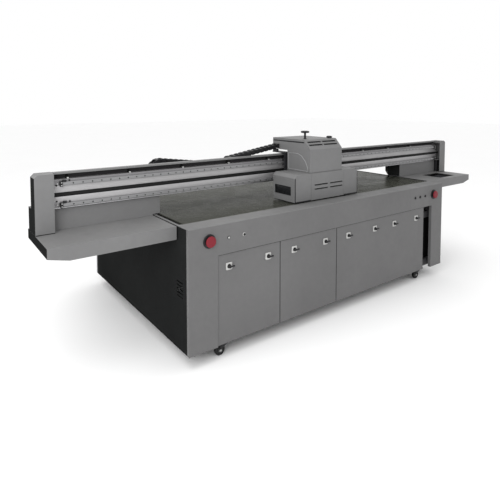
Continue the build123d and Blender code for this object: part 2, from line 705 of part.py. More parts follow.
with BuildPart() as chain_loop:
    with BuildSketch(Plane.XZ.offset(-CHAIN_Y[0])):
        with BuildLine():
            Line((CHAIN_REST_END, CHAIN_LOW), (CHAIN_BEND_X, CHAIN_LOW))
            ThreePointArc(
                (CHAIN_BEND_X, CHAIN_LOW),
                (CHAIN_BEND_X - BEND_OUTER, BEND_MID_Z),
                (CHAIN_BEND_X, CHAIN_CREST),
            )
            Polyline(
                (CHAIN_BEND_X, CHAIN_CREST),
                (CREST_END, CHAIN_HIGH),
                (CHAIN_REST_END, CHAIN_HIGH),
                (CHAIN_REST_END, CHAIN_HIGH - CHAIN_T),
                (CREST_END, CHAIN_HIGH - CHAIN_T),
                (CHAIN_BEND_X, CHAIN_CREST - CHAIN_T),
            )
            ThreePointArc(
                (CHAIN_BEND_X, CHAIN_CREST - CHAIN_T),
                (CHAIN_BEND_X - BEND_INNER, BEND_MID_Z),
                (CHAIN_BEND_X, CHAIN_LOW + CHAIN_T),
            )
            Polyline(
                (CHAIN_BEND_X, CHAIN_LOW + CHAIN_T),
                (CHAIN_REST_END, CHAIN_LOW + CHAIN_T),
                (CHAIN_REST_END, CHAIN_LOW),
            )
        make_face()
    extrude(amount=CHAIN_Y[0] - CHAIN_Y[1])
pieces["chain_loop"] = chain_loop.part

RISE_START = (-790, DECK + 4)
RISE_END = (UPPER_X[0] - 3, 1336)

with BuildPart() as chain_rise:
    with BuildSketch(Plane.XZ.offset(-RISE_Y[0])):
        with BuildLine():
            Polyline(
                RISE_START,
                RISE_END,
                (RISE_END[0], RISE_END[1] + CHAIN_T),
                (RISE_START[0], RISE_START[1] + CHAIN_T),
                close=True,
            )
        make_face()
    extrude(amount=RISE_Y[0] - RISE_Y[1])
pieces["chain_rise"] = chain_rise.part


# ---- X saddle ----------------------------------------------------------------------------
SADDLE_Y = (-474, -460)
Z_GUIDE_X = (-190, 90)
SADDLE_X = (-270, 180)
BRACKET_X = (-270, -200)
BRACKET_Z = (1297, 1305)
Z_SCREW = (CARRIAGE_MID, -512)

with BuildPart() as x_saddle:
    block(SADDLE_X, SADDLE_Y, (1050, 1262))
    for x in ((-260, -180), (80, 160)):
        for z in X_RAIL_Z:
            block(x, (SADDLE_Y[1], BEAM_Y[0] - 3), around(z, 27))
            block(grown(x, 1), (X_RAIL_FRONT - 1, BEAM_Y[0]), around(z, 11), mode=Mode.SUBTRACT)
    # Belt clamp
    block(around(CARRIAGE_MID, 40), (SADDLE_Y[1], BEAM_Y[0] + 1.5), grown(BELT_SLOT_Z, -5))
    # Z guides, screw and lift motor
    for x in Z_GUIDE_X:
        block(around(x, 10), (SADDLE_Y[0] - 10, SADDLE_Y[0]), (1060, 1255))
    block(around(CARRIAGE_MID, 40), (-552, SADDLE_Y[1]), (1254, 1262))
    block(around(CARRIAGE_MID, 35), (-547, -477), (1262, 1318))
    rod((*Z_SCREW, 1100), "z", 8, 160)
    # Bracket over the beam for the drag chain
    block(BRACKET_X, SADDLE_Y, (1262, BRACKET_Z[1]))
    block(BRACKET_X, (SADDLE_Y[0], RISE_Y[1]), BRACKET_Z)
    block((BRACKET_X[0], RISE_END[0] - 3), grown(RISE_Y, -4), (BRACKET_Z[1], 1330))
pieces["x_saddle"] = x_saddle.part


# ---- Print carriage ----------------------------------------------------------------------
SLOPE_LOW = (-760, 1348)
SLOPE_HIGH = (-690, CARRIAGE_TOP)
COVER_REAR = -290

with BuildPart() as upper_cover:
    with BuildSketch(Plane.YZ.offset(UPPER_X[0])):
        with BuildLine():
            Polyline(
                (SLOPE_LOW[0], CARRIAGE_SHOULDER + 1),
                SLOPE_LOW,
                SLOPE_HIGH,
                (COVER_REAR, CARRIAGE_TOP),
                (COVER_REAR, 1363),
                (-377, 1325),
                (-483, 1325),
                (-483, CARRIAGE_SHOULDER + 1),
                close=True,
            )
        make_face()
    extrude(amount=UPPER_X[1] - UPPER_X[0])
    with BuildSketch(Plane.YZ.offset(UPPER_X[0] + SHEET)):
        with BuildLine():
            Polyline(
                (SLOPE_LOW[0], CARRIAGE_SHOULDER + 1),
                SLOPE_LOW,
                SLOPE_HIGH,
                (COVER_REAR, CARRIAGE_TOP),
                (COVER_REAR, 1363),
                (-377, 1325),
                (-483, 1325),
                (-483, CARRIAGE_SHOULDER + 1),
                close=True,
            )
        make_face()
        offset(amount=-SHEET, mode=Mode.REPLACE)
    extrude(amount=UPPER_X[1] - UPPER_X[0] - 2 * SHEET, mode=Mode.SUBTRACT)
    inside_x = grown(UPPER_X, -SHEET)
    block(inside_x, (-757, -486), (1150, 1165), mode=Mode.SUBTRACT)
    block(inside_x, (-490, -475), (1150, 1322), mode=Mode.SUBTRACT)
    # Louvres through the sloping front
    for z in (1379, 1402):
        skin_y = SLOPE_LOW[0] + (z - SLOPE_LOW[1]) * 70 / 77
        for x in ((-230, -79), (-61, 98)):
            block(x, around(skin_y, 9), (z, z + 6), mode=Mode.SUBTRACT)
    # Shallow recess around the service door on each side
    for x in (UPPER_X[0] - 1, UPPER_X[1] - 1.2):
        with BuildSketch(Plane.YZ.offset(x)):
            with BuildLine():
                Polyline(
                    (-732, 1170),
                    (-732, 1200),
                    (-706, 1246),
                    (-660, 1290),
                    (-612, 1307),
                    (-500, 1306),
                    (-500, 1170),
                    close=True,
                )
            make_face()
        extrude(amount=2.2, mode=Mode.SUBTRACT)
pieces["upper_cover"] = upper_cover.part

with BuildPart() as centre_cover:
    block(CENTRE_X, (CARRIAGE_FRONT, CARRIAGE_REAR), (CARRIAGE_BOTTOM, CARRIAGE_SHOULDER))
    block(
        grown(CENTRE_X, -SHEET),
        (CARRIAGE_FRONT + SHEET, CARRIAGE_REAR + 1),
        (CARRIAGE_BOTTOM - 1, CARRIAGE_SHOULDER - SHEET),
        mode=Mode.SUBTRACT,
    )
    block((-236, 112), (-750, CARRIAGE_REAR + 1), (1150, 1160), mode=Mode.SUBTRACT)
    for x in ((-204, -54), (-24, 126)):
        slots(x, around(CARRIAGE_FRONT, 10), 1023, 2, 34, 7)
pieces["centre_cover"] = centre_cover.part

with BuildPart() as lamp_housings:
    for side in (-1, 1):
        inner = CARRIAGE_MID + side * LAMP_X[0]
        outer = CARRIAGE_MID + side * LAMP_X[1]
        with BuildSketch(Plane.XZ.offset(-CARRIAGE_FRONT)):
            with BuildLine():
                Polyline(
                    (inner, CARRIAGE_BOTTOM),
                    (outer, CARRIAGE_BOTTOM),
                    (outer, CARRIAGE_SHOULDER - LAMP_BEVEL),
                    (outer - side * LAMP_BEVEL, CARRIAGE_SHOULDER),
                    (inner, CARRIAGE_SHOULDER),
                    close=True,
                )
            make_face()
            offset(amount=-SHEET, mode=Mode.SUBTRACT)
        extrude(amount=CARRIAGE_FRONT - CARRIAGE_REAR)
        # Front and rear walls
        for y in (CARRIAGE_FRONT, CARRIAGE_REAR - SHEET):
            with BuildSketch(Plane.XZ.offset(-y)):
                with BuildLine():
                    Polyline(
                        (inner, CARRIAGE_BOTTOM),
                        (outer, CARRIAGE_BOTTOM),
                        (outer, CARRIAGE_SHOULDER - LAMP_BEVEL),
                        (outer - side * LAMP_BEVEL, CARRIAGE_SHOULDER),
                        (inner, CARRIAGE_SHOULDER),
                        close=True,
                    )
                make_face()
            extrude(amount=-SHEET)
        # Open underside and the side window
        block(
            (inner + side * SHEET, outer - side * SHEET),
            (CARRIAGE_FRONT + SHEET, CARRIAGE_REAR - SHEET),
            (CARRIAGE_BOTTOM - 1, CARRIAGE_BOTTOM + 10),
            mode=Mode.SUBTRACT,
        )
        block(around(outer, 10), (-722, -522), (986, 1060), mode=Mode.SUBTRACT)
pieces["lamp_housings"] = lamp_housings.part

with BuildPart() as uv_lamps:
    for side in (-1, 1):
        middle = CARRIAGE_MID + side * sum(LAMP_X) / 2
        block(around(middle, 66), (-740, -520), (948, 1060))
        for fin in range(10):
            block(around(middle, 67), around(-727 + 21.5 * fin, 5), (985, 1061), mode=Mode.SUBTRACT)
        block(around(middle, 67), (-741, -736), (985, 1061), mode=Mode.SUBTRACT)
pieces["uv_lamps"] = uv_lamps.part

with BuildPart() as head_frame:
    block((-238, 138), (-762, CARRIAGE_REAR), (945, 957))
    block((-262, 162), (CARRIAGE_REAR, -486), (945, 1150))
    for x in Z_GUIDE_X:
        block(around(x, 25), (-486, SADDLE_Y[0] - 1), (1000, 1140))
        block(around(x, 11), (-485, SADDLE_Y[0]), (999, 1141), mode=Mode.SUBTRACT)
    block(around(CARRIAGE_MID, 22), (-534, CARRIAGE_REAR), (1105, 1145))
    rod((*Z_SCREW, 1104), "z", 8.5, 42, mode=Mode.SUBTRACT)
    for x in HEAD_X:
        for y in HEAD_Y:
            block(around(x, 21), around(y, 46), (944, 958), mode=Mode.SUBTRACT)
pieces["head_frame"] = head_frame.part

with BuildPart() as print_heads:
    for x in HEAD_X:
        for y in HEAD_Y:
            block(around(x, 20), around(y, 45), (940, 1000))
            block(around(x, 23), around(y, 48), (957, 964))
            block(around(x, 6), around(y, 30), (1000, 1030))
pieces["print_heads"] = print_heads.part

with BuildPart() as ink_tanks:
    block((-225, 105), (-742, -566), (1170, 1175))
    with Locations(*[(-190 + 52 * column, -655, 1175) for column in range(6)]):
        Box(40, 120, 85, align=(Align.CENTER, Align.CENTER, Align.MIN))
        Cylinder(8, 100, align=(Align.CENTER, Align.CENTER, Align.MIN))
pieces["ink_tanks"] = ink_tanks.part

DOME_TOP = CARRIAGE_TOP + 20

with BuildPart() as cover_knobs:
    # A tall handle and a low domed knob: centre, stem height, stem and head radius, top
    for x, y, stem, stem_r, head_r, top in (
        (-165, -610, 50, 9, 36, CARRIAGE_TOP + 69),
        (75, -660, 4, 15, 26, DOME_TOP),
    ):
        rod((x, y, CARRIAGE_TOP), "z", stem_r, stem)
        rod((x, y, CARRIAGE_TOP + stem), "z", head_r, top - CARRIAGE_TOP - stem)
    fillet(cover_knobs.edges().filter_by(GeomType.CIRCLE).group_by(Axis.Z)[-1], 7)
    dome_face = cover_knobs.faces().filter_by(Axis.Z).filter_by_position(
        Axis.Z, DOME_TOP - 1, DOME_TOP + 1
    )
    fillet(dome_face.edges(), 8)
pieces["cover_knobs"] = cover_knobs.part


# ---- Export ------------------------------------------------------------------------------
for name, piece in pieces.items():
    piece.label = name
    export_step(piece, f"parts/{name}.step")
print(len(pieces), "nodes written")
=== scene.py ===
"""Looks for the flatbed UV printer: camera, light, materials and detailed pieces around its CAD frame."""
import json
import math

import bmesh
import bpy
from mathutils import Matrix, Vector


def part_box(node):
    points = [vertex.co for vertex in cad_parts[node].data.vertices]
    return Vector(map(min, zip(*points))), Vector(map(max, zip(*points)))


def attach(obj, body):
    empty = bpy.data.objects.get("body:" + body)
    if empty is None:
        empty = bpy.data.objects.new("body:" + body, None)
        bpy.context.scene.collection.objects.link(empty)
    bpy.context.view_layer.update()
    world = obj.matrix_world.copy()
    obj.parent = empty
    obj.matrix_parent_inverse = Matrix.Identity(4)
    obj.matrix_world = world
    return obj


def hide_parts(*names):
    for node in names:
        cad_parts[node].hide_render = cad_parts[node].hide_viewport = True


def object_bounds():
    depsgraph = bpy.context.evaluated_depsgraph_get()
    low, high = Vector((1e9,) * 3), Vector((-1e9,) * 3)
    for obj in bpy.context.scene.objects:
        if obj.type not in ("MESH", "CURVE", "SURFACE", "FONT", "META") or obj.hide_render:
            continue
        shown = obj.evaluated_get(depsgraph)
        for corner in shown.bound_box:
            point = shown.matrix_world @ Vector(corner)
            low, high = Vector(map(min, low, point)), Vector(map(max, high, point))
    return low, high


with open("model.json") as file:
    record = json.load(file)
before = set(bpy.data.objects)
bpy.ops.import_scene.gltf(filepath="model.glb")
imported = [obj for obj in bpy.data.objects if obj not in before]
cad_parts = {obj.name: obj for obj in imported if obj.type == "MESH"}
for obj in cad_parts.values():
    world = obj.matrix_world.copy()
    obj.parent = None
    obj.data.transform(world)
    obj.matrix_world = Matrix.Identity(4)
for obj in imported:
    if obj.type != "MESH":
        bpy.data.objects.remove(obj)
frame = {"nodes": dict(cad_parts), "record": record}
CAD_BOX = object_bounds()
NODES = frame["nodes"]
scene = bpy.context.scene

# ---- Camera ------------------------------------------------------------------------------
camera_data = bpy.data.cameras.new("camera")
camera_data.sensor_width = 36
camera_data.lens = 32.19
camera_data.shift_y = -0.239
camera_data.clip_end = 100
camera = bpy.data.objects.new("camera", camera_data)
camera.location = (-2.783, -3.361, 1.706)
camera.rotation_euler = (math.radians(86.81), 0, math.radians(-36.55))
scene.collection.objects.link(camera)
scene.camera = camera


# ---- Materials ---------------------------------------------------------------------------
class Nodes:
    """A short way to add nodes and links to one material."""

    def __init__(self, name):
        self.material = bpy.data.materials.new(name)
        self.material.use_nodes = True
        self.tree = self.material.node_tree
        self.shader = self.tree.nodes["Principled BSDF"]
        self.coordinates = self.add("ShaderNodeTexCoord").outputs["Object"]

    def add(self, kind, inputs=None, **settings):
        node = self.tree.nodes.new(kind)
        for key, value in settings.items():
            setattr(node, key, value)
        for key, value in (inputs or {}).items():
            self.put(node, key, value)
        return node

    def put(self, node, key, value):
        if isinstance(value, bpy.types.NodeSocket):
            self.tree.links.new(value, node.inputs[key])
        else:
            node.inputs[key].default_value = value

    def noise(self, scale, detail=3.0, stretch=(1, 1, 1), offset=0.0):
        vector = self.coordinates
        if stretch != (1, 1, 1) or offset:
            mapping = self.add("ShaderNodeMapping", {"Vector": vector})
            mapping.inputs["Scale"].default_value = stretch
            mapping.inputs["Location"].default_value = (offset, offset, offset)
            vector = mapping.outputs["Vector"]
        node = self.add("ShaderNodeTexNoise", {"Vector": vector, "Scale": scale, "Detail": detail})
        return node.outputs["Fac"]

    def span(self, value, low, high, source=(0.3, 0.7)):
        node = self.add(
            "ShaderNodeMapRange",
            {"Value": value, "From Min": source[0], "From Max": source[1], "To Min": low, "To Max": high},
        )
        return node.outputs["Result"]

    def math(self, operation, a, b=None):
        node = self.add("ShaderNodeMath", {0: a}, operation=operation)
        if b is not None:
            self.put(node, 1, b)
        return node.outputs[0]

    def mix(self, factor, a, b):
        node = self.add("ShaderNodeMix", data_type="RGBA")
        self.put(node, "Factor", factor)
        self.put(node, 6, a)
        self.put(node, 7, b)
        return node.outputs[2]

    def shade(self, colour, factor):
        """A colour made lighter or darker by a value around one."""
        vector = colour[:3] if isinstance(colour, tuple) else colour
        node = self.add("ShaderNodeVectorMath", {0: vector, "Scale": factor}, operation="SCALE")
        return node.outputs[0]

    def bump(self, height, strength, distance, normal=None):
        node = self.add("ShaderNodeBump", {"Height": height, "Strength": strength, "Distance": distance})
        if normal is not None:
            self.put(node, "Normal", normal)
        return node.outputs["Normal"]


def rgba(colour):
    return (*colour, 1.0)


EDGE_WIDTH = 0.0022            # how far wear reaches from an edge
DUST_COLOUR = (0.4, 0.39, 0.37)


def surface(
    name, colour, rough, metal=0.0, patch=0.07, grain=900, relief=0.00006, round_edge=0.0,
    wear=0.0, bare=(0.5, 0.5, 0.5), brushed=None, dust=0.0, coat=0.0, specular=0.4, tint=1.0,
    ribs=None,
):
    """A finish with slow colour drift, fine grain, uneven gloss, rounded and worn edges."""
    net = Nodes(name)
    slow = net.noise(1.7, 4)
    mottle = net.noise(26, 4, offset=3.1)
    broad = net.span(slow, 1 - patch, 1 + patch)
    small = net.span(mottle, 1 - patch / 3, 1 + patch / 3)
    shaded = net.shade(rgba(colour), net.math("MULTIPLY", broad, small))
    gloss = net.span(net.noise(9, 5, offset=1.7), rough - 0.06, rough + 0.07)
    fine = net.noise(grain, 2)
    normal = None
    if round_edge:
        normal = net.add("ShaderNodeBevel", {"Radius": round_edge}, samples=4).outputs["Normal"]
    if brushed:
        lines = net.noise(brushed[0], 3, stretch=brushed[1], offset=0.4)
        shaded = net.shade(shaded, net.span(lines, 1 - brushed[2], 1 + brushed[2]))
        gloss = net.math("ADD", gloss, net.span(lines, -0.07, 0.07))
        fine = lines
    if ribs:
        wave = net.add(
            "ShaderNodeTexWave", {"Vector": net.coordinates, "Scale": ribs, "Distortion": 0.0},
            wave_type="BANDS", bands_direction="X",
        )
        fine = wave.outputs["Fac"]
    if wear:
        geometry = net.add("ShaderNodeNewGeometry").outputs["Normal"]
        corner = net.add("ShaderNodeBevel", {"Radius": EDGE_WIDTH}, samples=4).outputs["Normal"]
        bend = net.add("ShaderNodeVectorMath", {0: geometry, 1: corner}, operation="DOT_PRODUCT")
        edge = net.span(bend.outputs["Value"], 1.0, 0.0, source=(0.75, 0.985))
        broken = net.span(net.noise(38, 6, offset=5.0), 0.0, 1.0, source=(0.48, 0.66))
        rubbed = net.math("MULTIPLY", edge, broken)
        rubbed = net.math("MULTIPLY", rubbed, wear)
        shaded = net.mix(rubbed, shaded, rgba(bare))
        gloss = net.math("SUBTRACT", gloss, net.math("MULTIPLY", rubbed, 0.12))
    if dust:
        facing = net.add("ShaderNodeNewGeometry").outputs["Normal"]
        up = net.add("ShaderNodeSeparateXYZ", {0: facing}).outputs["Z"]
        settled = net.span(net.noise(5, 6, offset=8.0), 0.2, 1.0)
        lying = net.math("MULTIPLY", net.span(up, 0.0, dust, source=(0.4, 1.0)), settled)
        shaded = net.mix(lying, shaded, rgba(DUST_COLOUR))
        gloss = net.math("ADD", gloss, net.math("MULTIPLY", lying, 0.2))
    net.put(net.shader, "Base Color", shaded)
    net.put(net.shader, "Roughness", gloss)
    net.put(net.shader, "Metallic", metal)
    net.put(net.shader, "Normal", net.bump(fine, 0.35, relief, normal))
    net.shader.inputs["Specular IOR Level"].default_value = specular
    net.shader.inputs["Specular Tint"].default_value = (tint, tint, tint, 1.0)
    if coat:
        net.shader.inputs["Coat Weight"].default_value = coat
        net.shader.inputs["Coat Roughness"].default_value = 0.12
    return net.material


MATERIALS = {
    "grey": surface("grey_powder_coat", (0.150, 0.150, 0.151), 0.5, round_edge=0.0014, wear=0.35,
                    bare=(0.27, 0.27, 0.28), dust=0.08, relief=0.00009, specular=0.25),
    # The grey powder coat made darker as painted shade on the front apron and doors; the rear panel takes it
    # too
    "cabinet": surface("grey_powder_coat_painted_shade", (0.121, 0.120, 0.121), 0.5, round_edge=0.0014, wear=0.35,
                       bare=(0.24, 0.24, 0.25), dust=0.08, relief=0.00009, specular=0.25),
    # A lighter grey for the bead around the service door: painted highlight along the recess edge
    "bead": surface("painted_edge_highlight", (0.30, 0.30, 0.305), 0.42, wear=0.3, bare=(0.4, 0.4, 0.41),
                    relief=0.00006, specular=0.4),
    "charcoal": surface("charcoal_powder_coat", (0.0155, 0.016, 0.016), 0.6, patch=0.14, round_edge=0.0014,
                        wear=0.3, bare=(0.05, 0.05, 0.052), dust=0.02, relief=0.00009, specular=0.0),
    # Near-black satin paint for the base frame and electrical box, kept this dark also as painted shade of
    # the cabinet's interior
    "frame": surface("frame_dark_paint_and_interior_shade", (0.04, 0.04, 0.042), 0.5, patch=0.15, round_edge=0.002, wear=0.3,
                     bare=(0.15, 0.15, 0.15), dust=0.1, specular=0.3),
    "aluminium": surface("anodised_aluminium", (0.218, 0.214, 0.220), 0.4, metal=0.6, patch=0.05,
                         round_edge=0.0008, brushed=(60, (0.35, 22, 22), 0.09), relief=0.00004),
    "beam_face": surface("beam_bright_face", (0.37, 0.365, 0.37), 0.4, metal=0.6, patch=0.05,
                         brushed=(60, (0.35, 22, 22), 0.06), relief=0.00004),
    "aluminium_bright": surface("milled_aluminium", (0.5, 0.5, 0.51), 0.3, metal=0.95, patch=0.04,
                                brushed=(60, (0.35, 22, 22), 0.08), relief=0.00003),
    "table": surface("table_hard_anodised", (0.098, 0.100, 0.084), 0.26, metal=0.55, patch=0.10,
                     brushed=(24, (0.5, 30, 1), 0.08), relief=0.00003, specular=0.1, tint=0.22),
    "rail": surface("ground_rail_steel", (0.25, 0.25, 0.254), 0.38, metal=0.6, patch=0.05,
                    brushed=(90, (0.2, 25, 25), 0.06), relief=0.00002),
    "machined": surface("machined_steel", (0.3, 0.305, 0.31), 0.35, metal=1.0, round_edge=0.001,
                        brushed=(120, (1, 9, 9), 0.1), relief=0.00004),
    "zinc": surface("zinc_plate", (0.45, 0.455, 0.45), 0.34, metal=0.9, patch=0.12, grain=500,
                    relief=0.00005, round_edge=0.0008),
    "plastic": surface("moulded_black_plastic", (0.010, 0.010, 0.011), 0.46, patch=0.12, grain=1400,
                       relief=0.00006, round_edge=0.0008, dust=0.02, specular=0.3),
    "chain": surface("chain_polyamide", (0.009, 0.009, 0.010), 0.42, patch=0.15, grain=1100, relief=0.00006,
                     dust=0.03, specular=0.3),
    "motor": surface("motor_enamel", (0.016, 0.016, 0.018), 0.4, patch=0.1, grain=700, relief=0.00008,
                     round_edge=0.0015, dust=0.03, specular=0.3),
    "rubber": surface("black_rubber", (0.010, 0.010, 0.010), 0.68, patch=0.2, grain=600, relief=0.00012,
                      specular=0.0),
    "belt": surface("toothed_belt_rubber", (0.010, 0.010, 0.010), 0.6, patch=0.15, relief=0.0008, ribs=60,
                    specular=0.15),
    "tread": surface("caster_tread", (0.012, 0.012, 0.0125), 0.55, patch=0.25, grain=350, relief=0.0002,
                     dust=0.08, specular=0.2),
    "hub": surface("caster_hub", (0.035, 0.035, 0.036), 0.42, patch=0.12, grain=900, relief=0.00006,
                   dust=0.06),
    "cap": surface("axle_cap_plastic", (0.42, 0.42, 0.41), 0.4, patch=0.08, grain=900, relief=0.00004),
    "silicone": surface("silicone_caps", (0.04, 0.04, 0.045), 0.55, patch=0.1, grain=300, relief=0.0001),
    "red": surface("estop_red_plastic", (0.17, 0.014, 0.022), 0.4, patch=0.08, grain=900, relief=0.00003,
                   specular=0.2),
    "white": surface("indicator_lens", (0.36, 0.36, 0.355), 0.25, patch=0.04, grain=500, relief=0.00003,
                     coat=0.3),
    "tank": surface("tank_polyethylene", (0.04, 0.04, 0.045), 0.4, patch=0.1, grain=500, relief=0.0001),
    "glass": surface("lamp_filter_glass", (0.010, 0.011, 0.012), 0.16, patch=0.05, grain=60,
                     relief=0.00002, specular=0.15),
    # Near-black for the back of the beam's recess, as painted shade, and for the dark lamp fins behind the
    # side windows
    "recess": surface("painted_recess_shade_and_dark_fins", (0.026, 0.025, 0.026), 0.6, patch=0.15, relief=0.00009,
                      specular=0.05),
    # Near-black for holes, slots and seam gaps: painted shade inside openings
    "void": surface("painted_hole_and_gap_shade", (0.005, 0.005, 0.005), 0.8, patch=0.2, grain=300, relief=0.0001,
                    specular=0.05),
}

NODE_LOOKS = {
    "grey": ("table_surround", "beam_top_cover", "upper_cover", "centre_cover", "lamp_housings"),
    "cabinet": ("front_apron", "front_panels", "rear_panel"),
    "charcoal": ("side_panels",),
    "frame": ("base_frame", "electrical_box"),
    "aluminium": ("gantry_beam", "vacuum_plenum", "head_frame"),
    "rail": ("y_rails", "y_ballscrew", "x_drive_pulley", "x_idler_pulley"),
    "machined": ("gantry_arms", "print_heads"),
    "zinc": ("levelling_feet",),
    "motor": ("vacuum_blowers", "y_drive_motor", "x_drive_motor", "uv_lamps", "x_saddle"),
    "belt": ("x_belt",),
    "silicone": ("capping_station",),
    "tank": ("ink_tanks",),
    "plastic": ("push_button_1", "push_button_2", "push_button_3", "push_button_4"),
}
for look, names in NODE_LOOKS.items():
    for node_name in names:
        shown = NODES[node_name]
        if not shown.material_slots:
            shown.data.materials.append(None)
        for slot in shown.material_slots:
            slot.material = MATERIALS[look]


# ---- Mesh helpers ------------------------------------------------------------------------
def from_bmesh(bm):
    """The points and faces of a bmesh as plain lists."""
    bm.verts.index_update()
    points = [tuple(v.co) for v in bm.verts]
    faces = [tuple(v.index for v in f.verts) for f in bm.faces]
    bm.free()
    return points, faces


def box_part(size, bevel=0.001, segments=2):
    """A box around the origin with rounded edges."""
    bm = bmesh.new()
    bmesh.ops.create_cube(bm, size=1)
    for v in bm.verts:
        v.co = Vector((v.co.x * size[0], v.co.y * size[1], v.co.z * size[2]))
    if bevel:
        bmesh.ops.bevel(bm, geom=bm.edges[:], offset=bevel, segments=segments, affect="EDGES", profile=0.5)
    return from_bmesh(bm)


def prism_part(outline, low, high, bevel=0.0, segments=2):
    """A closed outline in XY made into a solid from low to high along Z."""
    bm = bmesh.new()
    face = bm.faces.new([bm.verts.new((x, y, low)) for x, y in outline])
    grown = bmesh.ops.extrude_face_region(bm, geom=[face])
    for item in grown["geom"]:
        if isinstance(item, bmesh.types.BMVert):
            item.co.z = high
    bmesh.ops.recalc_face_normals(bm, faces=bm.faces[:])
    if bevel:
        bmesh.ops.bevel(bm, geom=bm.edges[:], offset=bevel, segments=segments, affect="EDGES", profile=0.5)
    return from_bmesh(bm)


def lathe_part(profile, sides=32):
    """A profile of (radius, height) turned around Z, closed at both ends."""
    points, faces, rings = [], [], []
    for radius, height in profile:
        if radius < 1e-6:
            rings.append([len(points)] * sides)
            points.append((0, 0, height))
            continue
        rings.append(list(range(len(points), len(points) + sides)))
        for k in range(sides):
            turn = 2 * math.pi * k / sides
            points.append((radius * math.cos(turn), radius * math.sin(turn), height))
    for lower, upper in zip(rings, rings[1:]):
        for k in range(sides):
            corner = [lower[k], lower[(k + 1) % sides], upper[(k + 1) % sides], upper[k]]
            faces.append(tuple(dict.fromkeys(corner)))
    if profile[0][0] > 1e-6:
        faces.append(tuple(reversed(rings[0])))
    if profile[-1][0] > 1e-6:
        faces.append(tuple(rings[-1]))
    return points, [f for f in faces if len(f) > 2]


def socket_screw(radius, height):
    """A cap screw head with a hexagon socket."""
    hexagon, wall = radius * 0.5, radius * 0.12
    points, faces = lathe_part(
        [(radius, 0), (radius, height - wall), (radius - wall, height), (hexagon * 1.15, height)], 18
    )
    faces = faces[:-1]
    rim = list(range(len(points) - 18, len(points)))
    floor = len(points)
    for k in range(18):
        turn = 2 * math.pi * k / 18
        reach = hexagon / math.cos((turn % (math.pi / 3)) - math.pi / 6) * 0.95
        points.append((reach * math.cos(turn), reach * math.sin(turn), height * 0.45))
    for k in range(18):
        after = (k + 1) % 18
        faces.append((rim[k], rim[after], floor + after, floor + k))
    faces.append(tuple(range(floor, floor + 18)))
    return points, faces


def holed_part(columns, rows, pitch, radius, depth, sides=12):
    """A sheet of cells in XY from the origin, each with a blind hole. Faces: sheet first, then holes."""
    points, top, holes = [], [], []
    corner = {}
    for i in range(columns + 1):
        for j in range(rows + 1):
            corner[i, j] = len(points)
            points.append((i * pitch[0], j * pitch[1], 0))
    quarter = sides // 4
    for i in range(columns):
        for j in range(rows):
            cx, cy = (i + 0.5) * pitch[0], (j + 0.5) * pitch[1]
            rim = len(points)
            for level in (0, -depth):
                for k in range(sides):
                    turn = 2 * math.pi * (k + 0.5) / sides - 3 * math.pi / 4 - math.pi / sides
                    points.append((cx + radius * math.cos(turn), cy + radius * math.sin(turn), level))
            corners = [corner[i, j], corner[i + 1, j], corner[i + 1, j + 1], corner[i, j + 1]]
            for side in range(4):
                start = side * quarter
                arc = [rim + (start + k) % sides for k in range(quarter + 1)]
                top.append((corners[side], corners[(side + 1) % 4], *reversed(arc)))
            for k in range(sides):
                after = (k + 1) % sides
                holes.append((rim + k, rim + after, rim + sides + after, rim + sides + k))
            holes.append(tuple(rim + sides + k for k in range(sides)))
    return points, top, holes


def rounded_outline(u, v, radius, steps=5):
    """A closed rectangular line with round corners between two limits along each axis."""
    line = []
    for cu, cv, first in ((u[1] - radius, v[1] - radius, 0), (u[0] + radius, v[1] - radius, 90),
                          (u[0] + radius, v[0] + radius, 180), (u[1] - radius, v[0] + radius, 270)):
        for k in range(steps + 1):
            turn = math.radians(first + 90 * k / steps)
            line.append((cu + radius * math.cos(turn), cv + radius * math.sin(turn)))
    return line + line[:1]


class Piece:
    """Gathers parts, each with one of its looks, into one object. The first look is the usual one."""

    def __init__(self, *looks):
        self.looks = looks
        self.points, self.faces, self.slots = [], [], []

    def add(self, part, place=(0, 0, 0), look=None, turn=None):
        matrix = Matrix.Translation(Vector(place))
        if turn is not None:
            matrix = matrix @ turn
        first = len(self.points)
        self.points += [tuple(matrix @ Vector(p)) for p in part[0]]
        self.faces += [tuple(first + k for k in f) for f in part[1]]
        self.slots += [self.looks.index(look) if look else 0] * len(part[1])

    def block(self, low, high, bevel=0.001, look=None):
        """A box between two corners, with rounded edges."""
        size = [abs(b - a) for a, b in zip(low, high)]
        centre = [(a + b) / 2 for a, b in zip(low, high)]
        self.add(box_part(size, min(bevel, min(size) * 0.45)), centre, look)

    def finish(self, name, body, replaces=(), sharp=32):
        mesh = bpy.data.meshes.new(name)
        mesh.from_pydata(self.points, [], self.faces)
        for look in self.looks:
            mesh.materials.append(MATERIALS[look])
        mesh.polygons.foreach_set("material_index", self.slots)
        bm = bmesh.new()
        bm.from_mesh(mesh)
        bmesh.ops.recalc_face_normals(bm, faces=bm.faces[:])
        bm.to_mesh(mesh)
        bm.free()
        mesh.shade_smooth()
        mesh.set_sharp_from_angle(angle=math.radians(sharp))
        obj = bpy.data.objects.new(name, mesh)
        scene.collection.objects.link(obj)
        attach(obj, body)
        if replaces:
            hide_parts(*replaces)


def repaint(node, name, body, looks, choose):
    """A copy of a CAD node in which choose(middle, normal) picks the look of each face."""
    source = NODES[node]
    mesh = source.data.copy()
    mesh.transform(source.matrix_world)
    mesh.materials.clear()
    for look in looks:
        mesh.materials.append(MATERIALS[look])
    mesh.polygons.foreach_set("material_index", [choose(f.center, f.normal) for f in mesh.polygons])
    obj = bpy.data.objects.new(name, mesh)
    scene.collection.objects.link(obj)
    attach(obj, body)
    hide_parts(node)


